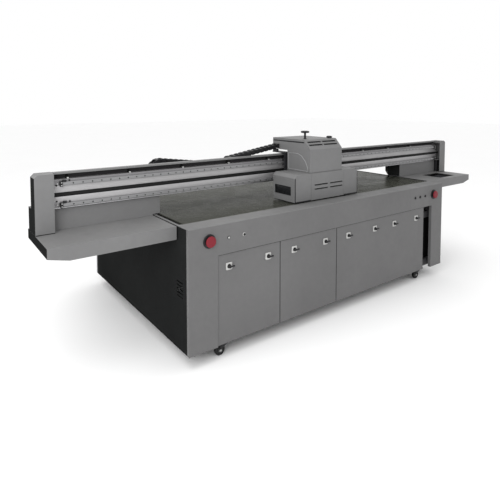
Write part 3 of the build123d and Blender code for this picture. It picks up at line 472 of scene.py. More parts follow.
FACING_FRONT = Matrix.Rotation(math.radians(90), 4, "X")      # local +Z looks to the front, -Y
FACING_REAR = Matrix.Rotation(math.radians(-90), 4, "X")
FACING_RIGHT = Matrix.Rotation(math.radians(90), 4, "Y")
QUARTER_TURN = Matrix.Rotation(math.radians(90), 4, "Z")      # from the XZ plane to the YZ plane


def middle(low, high):
    return (low + high) / 2


# ---- Two-tone sheet metal and painted shade ----------------------------------------------
bpy.context.view_layer.update()
MACHINE_END = CAD_BOX[1][0] - 0.0006
LEG_COVER_INNER = (1.404, 1.459)
LEG_COVER_FRONT = -0.42


def ends_dark(centre, normal):
    """Charcoal on the machine's outer end faces, their real paint, and on the leg covers' inner ends, where
    it is painted shade.
    """
    if abs(normal.x) <= 0.5:
        return 0
    outer = abs(centre.x) > MACHINE_END
    # The leg covers' inner ends are painted charcoal as shade
    inner = LEG_COVER_INNER[0] < abs(centre.x) < LEG_COVER_INNER[1]
    return int(outer or (inner and centre.y > LEG_COVER_FRONT))


repaint("end_housings", "end_box_pair", "gantry", ("grey", "charcoal"), ends_dark)
repaint("left_tray", "left_tray_shell", "gantry", ("grey", "charcoal"), ends_dark)
repaint("right_tray", "right_tray_shell", "gantry", ("grey", "charcoal"), ends_dark)

# Black rubber strips around the opening over the caps: painted shade that widens the dark of the opening,
# which is larger on the real tray
WELL_X, WELL_Y = (1.780, 2.032), (-0.694, -0.510)
SHADE_RIM = 0.014
tray_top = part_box("right_tray")[1].z
rim = Piece("rubber")
for x0, x1, y0, y1 in (
    (WELL_X[0] - SHADE_RIM, WELL_X[1] + SHADE_RIM, WELL_Y[0] - SHADE_RIM, WELL_Y[0]),
    (WELL_X[0] - SHADE_RIM, WELL_X[1] + SHADE_RIM, WELL_Y[1], WELL_Y[1] + SHADE_RIM),
    (WELL_X[0] - SHADE_RIM, WELL_X[0], *WELL_Y),
    (WELL_X[1], WELL_X[1] + SHADE_RIM, *WELL_Y),
):
    rim.block((x0, y0, tray_top - 0.002), (x1, y1, tray_top + 0.0008), 0.0004)
rim.finish("capping_opening_shade_rim", "gantry")

# ---- Vacuum table ------------------------------------------------------------------------
HOLE_PITCH = 0.05
HOLE_MARGIN = 0.01
ROUNDING = 0.0012
low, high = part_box("vacuum_table")
columns = int((high.x - low.x - HOLE_MARGIN) // HOLE_PITCH)
rows = int((high.y - low.y - HOLE_MARGIN) // HOLE_PITCH)
points, top, holes = holed_part(columns, rows, (HOLE_PITCH, HOLE_PITCH), 0.0022, 0.006, 8)
grid_x, grid_y = columns * HOLE_PITCH / 2, rows * HOLE_PITCH / 2
table = Piece("table", "void")
table.add((points, top), (-grid_x, -grid_y, high.z))
# The holes' walls and bottoms take the near-black look: painted shade inside the holes
table.add((points, holes), (-grid_x, -grid_y, high.z), "void")
rings = (
    (grid_x, grid_y, high.z), (high.x - ROUNDING, high.y - ROUNDING, high.z),
    (high.x, high.y, high.z - ROUNDING), (high.x, high.y, low.z),
)
plate = [(sx * x, sy * y, z) for x, y, z in rings for sx, sy in ((-1, -1), (1, -1), (1, 1), (-1, 1))]
skirt = []
for ring in range(len(rings) - 1):
    for k in range(4):
        a, b = ring * 4 + k, ring * 4 + (k + 1) % 4
        skirt.append((a, b, b + 4, a + 4))
skirt.append(tuple(range(len(plate) - 4, len(plate))))
table.add((plate, skirt))
table.finish("table_plate", "base", ["vacuum_table"])

# Black rubber in the gap at each end of the table, and a flat black lip over the surround beside it: painted
# shade of the gap
table_gap_shade = Piece("rubber")
for side in (-1, 1):
    x0, x1 = sorted((side * (high.x + 0.0006), side * (high.x + 0.0154)))
    table_gap_shade.block((x0, low.y - 0.002, low.z - 0.001), (x1, high.y + 0.002, high.z - 0.013))
    x0, x1 = sorted((side * (high.x + 0.0152), side * (high.x + 0.0300)))
    table_gap_shade.block((x0, low.y + 0.004, high.z - 0.003), (x1, high.y - 0.004, high.z + 0.0008), 0.0004)
table_gap_shade.finish("table_edge_gap_shade", "base")

# ---- Linear rails along the beam ---------------------------------------------------------
BOLT_PITCH = 0.06
HALF_STRIP = 0.006             # half the height of the strip with the bolt holes
HALF_RAIL = 0.010
HALF_STOP = 0.016
low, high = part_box("beam_rails")
RAIL_MIDDLES = (low.z + HALF_STOP, high.z - HALF_STOP)
RAIL_FACE = low.y + 0.010
bolts = int((high.x - low.x - 0.04) // BOLT_PITCH)
strip = bolts * BOLT_PITCH / 2
points, top, holes = holed_part(bolts, 1, (BOLT_PITCH, 2 * HALF_STRIP), 0.0046, 0.005, 16)
hole_cap = socket_screw(0.0034, 0.002)
stop_screw = socket_screw(0.004, 0.003)
rails = Piece("rail", "void", "zinc", "plastic")
for z in RAIL_MIDDLES:
    start = (-strip, RAIL_FACE, z - HALF_STRIP)
    rails.add((points, top), start, "rail", FACING_FRONT)
    # Bolt holes in near-black: painted shade inside them
    rails.add((points, holes), start, "void", FACING_FRONT)
    for k in range(bolts):
        x = (k + 0.5) * BOLT_PITCH - strip
        rails.add(hole_cap, (x, RAIL_FACE + 0.005, z), "plastic", FACING_FRONT)
    # Rail body: crowned shoulders and waist grooves, from the bolt strip back to the beam
    outline = [
        (RAIL_FACE, z - HALF_STRIP), (RAIL_FACE, z - 0.0085), (RAIL_FACE + 0.0015, z - HALF_RAIL),
        (RAIL_FACE + 0.005, z - HALF_RAIL), (RAIL_FACE + 0.0065, z - 0.007), (RAIL_FACE + 0.010, z - 0.007),
        (RAIL_FACE + 0.0115, z - HALF_RAIL), (high.y, z - HALF_RAIL),
    ]
    outline += [(y, 2 * z - h) for y, h in reversed(outline)]
    count = len(outline)
    body = [(x, y, h) for x in (low.x, high.x) for y, h in outline]
    walls = [(k, k + 1, k + 1 + count, k + count) for k in range(count - 1)]
    walls += [tuple(range(count)), tuple(range(count, 2 * count))]
    rails.add((body, walls))
    for side in (-1, 1):
        end = [(side * x, RAIL_FACE, z + h) for x, h in (
            (strip, -HALF_STRIP), (high.x, -HALF_STRIP), (high.x, HALF_STRIP), (strip, HALF_STRIP))]
        rails.add((end, [(0, 1, 2, 3)]))
        x = side * (high.x - 0.007)
        rails.block((x - 0.007, low.y, z - HALF_STOP), (x + 0.007, high.y, z + HALF_STOP), 0.0012, "plastic")
        for rise in (-0.009, 0.009):
            rails.add(stop_screw, (x, low.y + 0.0005, z + rise), "zinc", FACING_FRONT)
rails.finish("beam_rail_pair", "gantry", ["beam_rails"])

# ---- Beam front: belt slot, bright faces, recess, clips and fasteners ----------------------
SLOT_Z = (1.136, 1.162)
SLOT_DEPTH = 0.0535
SLOT_PLAY, SLOT_WALL = 0.0005, 0.0017
beam_low, beam_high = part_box("gantry_beam")
FACE_Y = beam_low.y

# A thin near-black liner over the belt slot's walls: painted shade inside the slot
mouth, back = FACE_Y + 0.0002, FACE_Y + SLOT_DEPTH
z0, z1 = SLOT_Z[0] + SLOT_PLAY, SLOT_Z[1] - SLOT_PLAY
outline = [
    (back, z0), (mouth, z0), (mouth, z0 + SLOT_WALL), (back - SLOT_WALL, z0 + SLOT_WALL),
    (back - SLOT_WALL, z1 - SLOT_WALL), (mouth, z1 - SLOT_WALL), (mouth, z1), (back, z1),
]
body = [(x, y, h) for x in (beam_low.x + 0.001, beam_high.x - 0.001) for y, h in outline]
walls = [(k, (k + 1) % 8, (k + 1) % 8 + 8, k + 8) for k in range(8)] + [tuple(range(8)), tuple(range(8, 16))]
liner = Piece("void")
liner.add((body, walls))
liner.finish("belt_slot_shade_liner", "gantry")

trim = Piece("recess", "zinc", "aluminium_bright", "rubber", "cap", "beam_face")
# Bright ground faces between each rail and the belt slot
for z0, z1 in ((RAIL_MIDDLES[0] + 0.0115, SLOT_Z[0] - 0.001), (SLOT_Z[1] + 0.001, RAIL_MIDDLES[1] - 0.0115)):
    low, high = (beam_low.x + 0.002, FACE_Y - 0.0005, z0), (beam_high.x - 0.002, FACE_Y + 0.0005, z1)
    trim.block(low, high, 0.0002, "beam_face")
# Near-black block at the back of the recess under the top cover's lip: painted shade under the lip
RECESS_Y, RECESS_FLOOR = FACE_Y + 0.0372, beam_high.z
low = (beam_low.x + 0.001, RECESS_Y, RECESS_FLOOR + 0.0015)
high = (beam_high.x - 0.001, RECESS_Y + 0.0026, RECESS_FLOOR + 0.0312)
trim.block(low, high, 0.0006)
# Rubber clips along the recess, each with a bright nose and a screw
CLIPS, CLIP_START, CLIP_PITCH = 10, -2.037, 0.4085
HALF_CLIP, HALF_NOSE = 0.009, 0.005
clip_screw = socket_screw(0.004, 0.003)
for k in range(CLIPS):
    x, z = CLIP_START + CLIP_PITCH * k, RECESS_FLOOR
    foot = ((x - HALF_CLIP, FACE_Y + 0.006, z + 0.0005), (x + HALF_CLIP, FACE_Y + 0.0385, z + 0.0035))
    heel = ((x - HALF_CLIP, FACE_Y + 0.0345, z + 0.0005), (x + HALF_CLIP, RECESS_Y, z + 0.0240))
    nose = ((x - HALF_NOSE, FACE_Y + 0.001, z + 0.0002), (x + HALF_NOSE, FACE_Y + 0.008, z + 0.0085))
    trim.block(*foot, 0.0006, "rubber")
    trim.block(*heel, 0.0006, "rubber")
    trim.block(*nose, 0.0012, "cap")
    trim.add(clip_screw, (x, FACE_Y + 0.020, z + 0.0034), "zinc")
# Bright lip along the lower edge of the beam
low = (beam_low.x + 0.002, FACE_Y - 0.0016, beam_low.z + 0.0012)
high = (beam_high.x - 0.002, FACE_Y + 0.0005, beam_low.z + 0.0058)
trim.block(low, high, 0.0005, "aluminium_bright")
# Black rubber strips under the end boxes: painted shade of the gap between each end box and the tray
end_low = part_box("end_housings")[0]
for side in (-1, 1):
    x0, x1 = sorted((side * (beam_high.x + 0.001), side * (MACHINE_END - 0.001)))
    low, high = (x0, end_low.y - 0.0007, end_low.z + 0.0002), (x1, end_low.y + 0.0010, end_low.z + 0.0048)
    trim.block(low, high, 0.0003, "rubber")
trim.finish("beam_trim", "gantry")

fasteners = Piece("plastic", "zinc")
bolt = socket_screw(0.0055, 0.005)
for side in (-1, 1):
    for z in RAIL_MIDDLES:
        fasteners.add(bolt, (side * (beam_high.x - 0.031), FACE_Y, z), "zinc", FACING_FRONT)
    for z in (1.108, 1.208):
        fasteners.add(bolt, (side * (beam_high.x - 0.025), FACE_Y, z), "plastic", FACING_FRONT)
for z in RAIL_MIDDLES:
    # Limit switch block and its bolt at the left end; the saddle parks over the right end
    x = beam_low.x + 0.071
    fasteners.block((x - 0.011, FACE_Y - 0.020, z + 0.0125), (x + 0.011, FACE_Y, z + 0.0235), 0.0012)
    fasteners.add(bolt, (beam_low.x + 0.103, FACE_Y - 0.002, z + 0.018), "plastic", FACING_FRONT)
fasteners.finish("beam_fasteners", "gantry")


# ---- Drag chain --------------------------------------------------------------------------
def stadium(length, height, steps=8):
    """A closed outline with round ends, in the plane of its first two axes."""
    radius, half = height / 2, length / 2 - height / 2
    outline = []
    for sign in (1, -1):
        for k in range(steps + 1):
            turn = -math.pi / 2 + math.pi * k / steps
            outline.append((sign * (half + radius * math.cos(turn)), sign * radius * math.sin(turn)))
    return outline


SIDE_PLATE, INNER_PLATE = 0.0055, 0.004        # thicknesses of a link's outer and inner side plates


def chain_parts(width, height, pitch):
    """One link's outer plate, inner plate and crossbar. X along the run, Y across."""
    plate = prism_part(stadium(pitch * 1.22, height), 0, SIDE_PLATE, 0.0009, 1)
    inner = prism_part(stadium(pitch * 0.9, height * 0.86), 0, INNER_PLATE, 0.0007, 1)
    bar = box_part((pitch * 0.42, width - 0.012, 0.004), 0.0012, 1)
    return plate, inner, bar


def spread(path, pitch):
    """Points and directions spaced evenly along a list of (x, z) points."""
    out, left = [], pitch / 2
    for (x0, z0), (x1, z1) in zip(path, path[1:]):
        length = math.hypot(x1 - x0, z1 - z0)
        while left <= length:
            t = left / length
            out.append((x0 + (x1 - x0) * t, z0 + (z1 - z0) * t, math.atan2(z1 - z0, x1 - x0)))
            left += pitch
        left -= length
    return out


def tube(path, y, radius, sides=8):
    """A round hose or bead along a list of (x, z) points at one y."""
    points, faces = [], []
    for i, (x, z) in enumerate(path):
        before, after = path[max(i - 1, 0)], path[min(i + 1, len(path) - 1)]
        slope = math.atan2(after[1] - before[1], after[0] - before[0])
        for k in range(sides):
            turn = 2 * math.pi * k / sides
            up = radius * math.sin(turn)
            points.append((x - up * math.sin(slope), y + radius * math.cos(turn), z + up * math.cos(slope)))
    for i in range(len(path) - 1):
        for k in range(sides):
            a, b = i * sides + k, i * sides + (k + 1) % sides
            faces.append((a, b, b + sides, a + sides))
    faces += [tuple(range(sides)), tuple(range(len(points) - sides, len(points)))]
    return points, faces


CHAIN_T = 0.038                # height of the chain
CHAIN_PITCH = 0.046
HOSES = ((-1.5, 0.006), (-0.4, 0.0045), (0.55, 0.007), (1.5, 0.005))     # place across, radius
HOSE_PITCH = 0.0135


def chain_piece(name, node, path, height):
    """Links and hoses along a path of (x, z) points, in place of a chain node."""
    low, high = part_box(node)
    width, mid_y = high.y - low.y, middle(low.y, high.y)
    plate, inner, bar = chain_parts(width, height, CHAIN_PITCH)
    chain = Piece("chain", "rubber")
    for x, z, slope in spread(path, CHAIN_PITCH):
        lean = Matrix.Rotation(-slope, 4, "Y")
        stand = lean @ FACING_FRONT
        step = lean @ Vector((CHAIN_PITCH * 0.3, 0, 0))
        for side in (-1, 1):
            outer_y = mid_y + side * width / 2 + (0 if side > 0 else SIDE_PLATE)
            inner_y = mid_y + side * (width / 2 - 0.0062) + (0 if side > 0 else INNER_PLATE)
            chain.add(plate, (x, outer_y, z), "chain", stand)
            chain.add(inner, (x + step.x, inner_y, z + step.z), "chain", stand)
        for level in (-1, 1):
            offset = lean @ Vector((0, 0, level * (height / 2 - 0.0024)))
            chain.add(bar, (x + offset.x, mid_y, z + offset.z), "chain", lean)
    for across, radius in HOSES:
        chain.add(tube(path, mid_y + across * HOSE_PITCH, radius), look="rubber")
    body = next(b for b, members in frame["record"]["behaviour"]["bodies"].items() if node in members)
    chain.finish(name, body, [node])


CREST_DROP = 0.062             # from the crest down to the upper run
CREST_RUN = 0.474
BEND_STEPS, RISE_STEPS = 16, 14
low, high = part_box("chain_loop")
bend_radius = (high.z - low.z - CHAIN_T) / 2
bend_x = low.x + bend_radius + CHAIN_T / 2
run_low, crest = low.z + CHAIN_T / 2, high.z - CHAIN_T / 2
bend_z = middle(run_low, crest)
loop = [(high.x - 0.002, run_low), (bend_x, run_low)]
for k in range(1, BEND_STEPS + 1):
    turn = -math.pi / 2 - math.pi * k / BEND_STEPS
    loop.append((bend_x + bend_radius * math.cos(turn), bend_z + bend_radius * math.sin(turn)))
loop += [(bend_x + CREST_RUN, crest - CREST_DROP), (high.x - 0.002, crest - CREST_DROP)]
chain_piece("drag_chain_loop", "chain_loop", loop, CHAIN_T - 0.001)

low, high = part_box("chain_rise")
ends = (low.x + 0.006, high.x - 0.006)
slope = (high.z - low.z - CHAIN_T) / (high.x - low.x)
rise = []
for k in range(RISE_STEPS + 1):
    x = ends[0] + (ends[1] - ends[0]) * k / RISE_STEPS
    rise.append((x, low.z + slope * (x - low.x) + CHAIN_T / 2))
chain_piece("drag_chain_rise", "chain_rise", rise, CHAIN_T - 0.002)

# ---- Front fittings: E-stops, button bezels, indicator, valve plates and levers ------------
APRON_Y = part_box("front_apron")[0].y
PANEL_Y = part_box("front_panels")[0].y
ESTOPS = {name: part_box(name) for name in ("estop_left", "estop_right")}
INDICATOR_X = -1.146
collar = lathe_part(
    [(0.047, 0), (0.047, 0.0035), (0.0455, 0.0055), (0.043, 0.006), (0.030, 0.006), (0.026, 0.0068),
     (0.024, 0.0085), (0.0225, 0.009), (0.0125, 0.009), (0.012, 0.008), (0.012, 0)], 48
)
bezel = lathe_part(
    [(0.0128, 0), (0.0128, 0.0025), (0.0118, 0.004), (0.0105, 0.004), (0.0095, 0.003), (0.0095, 0)], 32
)
lamp_ring = lathe_part([(0.0105, 0), (0.0105, 0.0025), (0.0098, 0.0035), (0.0078, 0.0035), (0.0075, 0.003)])
lens = lathe_part([(0.0074, 0.002), (0.0074, 0.0042), (0.0066, 0.0055), (0.004, 0.0066), (0, 0.007)])
collars = Piece("plastic", "white", "cap")
for start, end in ESTOPS.values():
    place = (middle(start.x, end.x), APRON_Y, middle(start.z, end.z))
    collars.add(collar, place, "plastic", FACING_FRONT)
for k in range(1, 5):
    start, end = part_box(f"push_button_{k}")
    button_z = middle(start.z, end.z)
    place = (middle(start.x, end.x), APRON_Y, button_z)
    collars.add(bezel, place, "cap" if k == 1 else "plastic", FACING_FRONT)
collars.add(lamp_ring, (INDICATOR_X, APRON_Y, button_z), "plastic", FACING_FRONT)
collars.add(lens, (INDICATOR_X, APRON_Y, button_z), "white", FACING_FRONT)
collars.finish("control_bezels", "base", ["front_fittings"])

HALF_PLATE = 0.025
SCREW_REACH = 0.0205
LEVER_PIVOT = 0.011            # from a lever's left end to its pivot
valve_plate = prism_part(
    rounded_outline((-HALF_PLATE, HALF_PLATE), (-HALF_PLATE, HALF_PLATE), 0.007, 4)[:-1], 0, 0.005, 0.0012
)
# A black plastic ring in the middle of each plate: painted shade of the latch's recess
recess_shade_ring = lathe_part(
    [(0.0150, 0.0045), (0.0150, 0.0062), (0.0142, 0.007), (0.0075, 0.007), (0.0068, 0.006), (0.0068, 0)], 40
)
plate_screw = socket_screw(0.0018, 0.0012)
lever_hub = lathe_part(
    [(0.006, -0.034), (0.006, 0.001), (0.0098, 0.002), (0.0108, 0.003), (0.0108, 0.0095), (0.0098, 0.0105),
     (0.006, 0.0108), (0.005, 0.0118), (0, 0.012)]
)
# A lever's outline: round over the pivot, a waist that widens, and a round tip
lever_outline = []
for k in range(13):
    turn = math.radians(90 + 15 * k)
    lever_outline.append((0.0065 * math.cos(turn) - 0.0028, 0.0065 * math.sin(turn)))
lever_outline += [(0.012, -0.0047), (0.026, -0.0056)]
for k in range(9):
    turn = math.radians(-80 + 20 * k)
    lever_outline.append((0.0306 + 0.0064 * math.cos(turn), 0.0064 * math.sin(turn)))
lever_outline += [(0.026, 0.0056), (0.012, 0.0047)]
lever_bar = prism_part(lever_outline, 0.0152, 0.0238, 0.0022)
valves = Piece("cap", "plastic", "zinc")
for k in range(1, 9):
    start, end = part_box(f"zone_lever_{k}")
    pivot_x, pivot_z = start.x + LEVER_PIVOT, middle(start.z, end.z)
    place = (pivot_x, PANEL_Y, pivot_z)
    valves.add(valve_plate, place, "cap", FACING_FRONT)
    valves.add(recess_shade_ring, place, "plastic", FACING_FRONT)
    for sx, sz in ((-1, -1), (-1, 1), (1, -1), (1, 1)):
        spot = (pivot_x + sx * SCREW_REACH, PANEL_Y - 0.0048, pivot_z + sz * SCREW_REACH)
        valves.add(plate_screw, spot, "zinc", FACING_FRONT)
    lever = Piece("plastic")
    lever.add(lever_hub, (pivot_x, PANEL_Y - 0.0115, pivot_z), turn=FACING_FRONT)
    lever.add(lever_bar, place, turn=FACING_FRONT)
    lever.finish(f"valve_lever_{k}", f"zone_lever_{k}", [f"zone_lever_{k}"])
valves.finish("valve_plates", "base", ["front_fittings"])

# Near-black strips in the seams over and between the doors: painted shade in the gaps and under the apron
SEAM, HALF_SEAM = 0.004, 0.0028
SEAMS_X = (-0.689, -0.088)
seam_front, seam_back = PANEL_Y - 0.0003, PANEL_Y + 0.0012
door_low, door_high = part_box("front_panels")
seams = Piece("void")
low = (door_low.x - SEAM, seam_front, door_high.z - 0.001)
high = (door_high.x, seam_back, door_high.z + SEAM)
seams.block(low, high, 0.0002)
for x in SEAMS_X:
    seams.block((x - HALF_SEAM, seam_front, door_low.z), (x + HALF_SEAM, seam_back, door_high.z), 0.0002)
seams.finish("door_seam_shade", "base")

# Black rubber sheet inside the open gap beside the right post: painted shade of the cabinet's interior
gap_shade_sheet = Piece("rubber")
x0, x1 = door_high.x + 0.004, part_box("front_apron")[1].x - 0.010
gap_shade_sheet.block((x0, PANEL_Y + 0.085, door_low.z + 0.02), (x1, PANEL_Y + 0.088, door_high.z))
gap_shade_sheet.finish("access_gap_shade_sheet", "base")

mushroom = lathe_part(
    [(0.0105, -0.022), (0.0105, 0.0152), (0.0260, 0.0155), (0.0272, 0.0165), (0.0345, 0.0172),
     (0.0368, 0.0190), (0.0368, 0.0235), (0.0350, 0.0268), (0.0305, 0.0288), (0.0235, 0.0297),
     (0.0220, 0.0294), (0.0205, 0.0298), (0.0110, 0.0300), (0, 0.0300)], 48
)
for name, (start, end) in ESTOPS.items():
    head = Piece("red")
    head.add(mushroom, (middle(start.x, end.x), APRON_Y, middle(start.z, end.z)), turn=FACING_FRONT)
    head.finish(name + "_mushroom", name, [name])

# ---- Casters -----------------------------------------------------------------------------
TREAD = [
    (0.0262, -0.0105), (0.0280, -0.0135), (0.0330, -0.0138), (0.0362, -0.0115), (0.0375, -0.0070),
    (0.0375, 0.0070), (0.0362, 0.0115), (0.0330, 0.0138), (0.0280, 0.0135), (0.0262, 0.0105),
]
STEM_OFFSET = 0.036            # from the axle to the swivel stem
STEM_RADIUS = 0.0062
HUB_RIBS, RIB_REACH = 5, 0.0188
AXLE_BOSS = 0.0098
tyre = lathe_part(TREAD, 56)
hub = lathe_part(
    [(0.0062, -0.0150), (0.0122, -0.0150), (0.0140, -0.0105), (0.0268, -0.0100), (0.0268, 0.0100),
     (0.0140, 0.0105), (0.0122, 0.0150), (0.0062, 0.0150)], 40
)
cap_disc = lathe_part([(0.0122, 0), (0.0122, 0.0008), (0.0110, 0.0016), (0.0062, 0.0016), (0.0062, 0)])
hub_rib = box_part((0.0035, 0.0012, 0.011), 0.0005, 1)
axle_bolt = socket_screw(0.0078, 0.004)
race = lathe_part(
    [(0.0255, 0.0825), (0.0270, 0.0845), (0.0270, 0.0895), (0.0245, 0.0915), (0.0245, 0.0930),
     (0.0270, 0.0945), (0.0270, 0.0978), (STEM_RADIUS, 0.0980), (STEM_RADIUS, 0.1050), (0, 0.1050)], 40
)
for corner in ("front_left", "front_right", "rear_left", "rear_right"):
    wheel_node, fork_node = f"caster_wheel_{corner}", f"caster_fork_{corner}"
    wheel_low, wheel_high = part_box(wheel_node)
    axle_x, axle_y, axle_z = (middle(a, b) for a, b in zip(wheel_low, wheel_high))
    wheel = Piece("tread", "hub", "cap")
    wheel.add(tyre, (axle_x, axle_y, axle_z), "tread", FACING_FRONT)
    wheel.add(hub, (axle_x, axle_y, axle_z), "hub", FACING_FRONT)
    for side, facing in ((-1, FACING_FRONT), (1, FACING_REAR)):
        wheel.add(cap_disc, (axle_x, axle_y + side * 0.0137, axle_z), "cap", facing)
        for k in range(HUB_RIBS):
            turn = 2 * math.pi * k / HUB_RIBS + 0.3
            x, z = axle_x + RIB_REACH * math.sin(turn), axle_z + RIB_REACH * math.cos(turn)
            wheel.add(hub_rib, (x, axle_y + side * 0.0104, z), "hub", Matrix.Rotation(turn, 4, "Y"))
    wheel.finish(f"caster_tyre_{corner}", wheel_node, [wheel_node])

    # Fork cheeks around the axle, with a round end below it
    stem_x = axle_x + STEM_OFFSET
    top = 0.0860 - axle_z
    outline = [(0.056, top), (0.010, top), (-0.002, 0.0760 - axle_z), (-0.0092, 0.012), (-AXLE_BOSS, 0.0)]
    for k in range(1, 8):
        turn = math.pi + math.pi * k / 8
        outline.append((AXLE_BOSS * math.cos(turn), AXLE_BOSS * math.sin(turn)))
    outline += [(AXLE_BOSS, 0.0), (0.013, 0.0105), (0.030, 0.0215), (0.056, 0.0345)]
    cheek = prism_part(outline, 0, 0.0028, 0.0008, 1)
    fork = Piece("plastic", "zinc")
    fork.add(race, (stem_x, axle_y, 0), "zinc")
    for side, facing in ((-1, FACING_FRONT), (1, FACING_REAR)):
        fork.add(cheek, (axle_x, axle_y + side * 0.0170 + 0.0014, axle_z), "plastic", FACING_FRONT)
        fork.add(axle_bolt, (axle_x, axle_y + side * 0.0183, axle_z), "zinc", facing)
    fork.block((stem_x - 0.024, axle_y - 0.0185, 0.0825), (stem_x + 0.021, axle_y + 0.0185, 0.0862), 0.0015)
    # Brake pedal with a ribbed tread
    fork.block((stem_x + 0.010, axle_y - 0.0163, 0.0722), (stem_x + 0.0735, axle_y + 0.0163, 0.0798), 0.0024)
    for k in range(4):
        x = stem_x + 0.046 + 0.0068 * k
        fork.block((x, axle_y - 0.0140, 0.0793), (x + 0.0032, axle_y + 0.0140, 0.0812), 0.0006)
    fork.finish(f"caster_housing_{corner}", fork_node, [fork_node])

# ---- Print carriage ----------------------------------------------------------------------
WINDOW_Y, WINDOW_Z = (-0.722, -0.522), (0.986, 1.060)
BORDER_Y, BORDER_Z = (-0.757, -0.513), (0.957, 1.113)
FIN_PITCH, FIN_T = 0.0100, 0.0014
LAMP_BEVEL = 0.026
SEAL_DROP = 0.0045             # how far the brush seals hang below the housings
lamp_low, lamp_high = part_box("lamp_housings")
centre_low, centre_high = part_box("centre_cover")
upper_low, upper_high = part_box("upper_cover")
dress = Piece("plastic", "glass", "grey", "bead", "recess", "void")
for side, outer, inner in ((-1, lamp_low.x, centre_low.x), (1, lamp_high.x, centre_high.x)):
    # Brush seals under the housing, along its front and its outer side
    z0, z1 = lamp_low.z - SEAL_DROP, lamp_low.z + 0.0035
    x0, x1 = sorted((outer - side * 0.0012, inner + side * 0.004))
    dress.block((x0, lamp_low.y + 0.0006, z0), (x1, lamp_low.y + 0.0034, z1), 0.0008)
    x0, x1 = sorted((outer - side * 0.0006, outer - side * 0.0034))
    dress.block((x0, lamp_low.y + 0.001, z0), (x1, lamp_high.y - 0.001, z1), 0.0008)
    # Filter glass behind the side window, with fins in front of it
    x0, x1 = sorted((outer - side * 0.0105, outer - side * 0.0065))
    low, high = (x0, WINDOW_Y[0] + 0.001, WINDOW_Z[0] + 0.001), (x1, WINDOW_Y[1] - 0.001, WINDOW_Z[1] - 0.001)
    dress.block(low, high, 0.0005, "glass")
    x0, x1 = sorted((outer - side * 0.0062, outer - side * 0.0022))
    for k in range(7):
        z = WINDOW_Z[0] + 0.0085 + FIN_PITCH * k
        dress.block((x0, WINDOW_Y[0] + 0.004, z), (x1, WINDOW_Y[1] - 0.004, z + FIN_T), 0.0004, "recess")
    # Black edging down the outer front corner and along the bottom: painted shade of the gaps at the
    # housing's edges
    y0, y1 = lamp_low.y - 0.0007, lamp_low.y + 0.003
    x0, x1 = sorted((outer + side * 0.0004, outer - side * 0.0060))
    dress.block((x0, y0, lamp_low.z), (x1, y1, lamp_high.z - LAMP_BEVEL), 0.0005)
    x0, x1 = sorted((outer, inner + side * 0.002))
    dress.block((x0, y0, lamp_low.z), (x1, y1, lamp_low.z + 0.0060), 0.0005)
    # Pressed border and window rim on the side
    for border in (rounded_outline(BORDER_Y, BORDER_Z, 0.022), rounded_outline(WINDOW_Y, WINDOW_Z, 0.004)):
        dress.add(tube(border, -outer, 0.0015), look="grey", turn=QUARTER_TURN)

# Louvres in the centre cover's front and in the sloping lid: a pressed hood over a row of slots
SLOTS = 15                     # dark slots in one row
FRONT_SLOT, LID_SLOT = (0.0066, 0.0008, 0.0125), (0.0066, 0.0120, 0.0008)
FRONT_SPANS, FRONT_ROWS = ((-0.204, -0.054), (-0.024, 0.126)), (1.030, 1.064)
LID_SPANS, LID_ROWS = ((-0.230, -0.079), (-0.061, 0.098)), (1.385, 1.408)
SLOPE_FOOT = (-0.760, 1.348)   # y and z of the slope's lower edge
SLOPE_RUN, SLOPE_RISE = 0.070, 0.077
HOOD_TURN = Matrix.Rotation(-math.atan2(SLOPE_RUN, SLOPE_RISE), 4, "X") @ FACING_RIGHT
SLOT_TURN = Matrix.Rotation(math.atan2(SLOPE_RISE, SLOPE_RUN), 4, "X")


def on_slope(z):
    """The slope's (y, z) at one height."""
    return SLOPE_FOOT[0] + (z - SLOPE_FOOT[1]) * SLOPE_RUN / SLOPE_RISE, z


def louvre(span, hood_at, hood_turn, slots_at, slot_size, slot_turn, inset):
    """A hood along X and a row of slots in near-black, painted shade inside them. Places are (y, z)."""
    half = (span[1] - span[0]) / 2
    curve = [math.pi / 12 * t for t in range(7)]
    outline = [(0.010 * math.sin(turn) - 0.006, -0.0058 * (1 - math.cos(turn))) for turn in curve]
    hood = prism_part(outline + [(0.004, 0.0006), (-0.006, 0.0006)], -half - 0.002, half + 0.002, 0.0006, 1)
    dress.add(hood, (middle(*span), *hood_at), "grey", hood_turn)
    for k in range(SLOTS):
        x = span[0] + inset + 2 * (half - inset) * k / (SLOTS - 1)
        dress.add(box_part(slot_size, 0.0002, 1), (x, *slots_at), "void", slot_turn)


front_y = centre_low.y
for span in FRONT_SPANS:
    for z in FRONT_ROWS:
        louvre(span, (front_y, z + 0.0045), FACING_RIGHT, (front_y, z - 0.0055), FRONT_SLOT, None, 0.005)
for span in LID_SPANS:
    for z in LID_ROWS:
        louvre(span, on_slope(z + 0.003), HOOD_TURN, on_slope(z - 0.005), LID_SLOT, SLOT_TURN, 0.006)

# Bead around the service door, in a lighter grey that paints the highlight on the door recess's edge, and the
# dark lid seam on each side of the upper cover
DOOR = [
    (-0.500, 1.170), (-0.732, 1.170), (-0.732, 1.200), (-0.706, 1.246), (-0.660, 1.290), (-0.612, 1.307),
    (-0.500, 1.306), (-0.500, 1.170),
]
LID_SEAM_Y, LID_SEAM_Z = (-0.690, -0.294), (1.3965, 1.4075)
for face_x, side in ((upper_low.x, -1), (upper_high.x, 1)):
    dress.add(tube(DOOR, -face_x, 0.0020), look="bead", turn=QUARTER_TURN)
    x0, x1 = sorted((face_x + side * 0.0005, face_x - side * 0.001))
    dress.block((x0, LID_SEAM_Y[0], LID_SEAM_Z[0]), (x1, LID_SEAM_Y[1], LID_SEAM_Z[1]), 0.0004)
dress.finish("carriage_trim", "print_carriage")

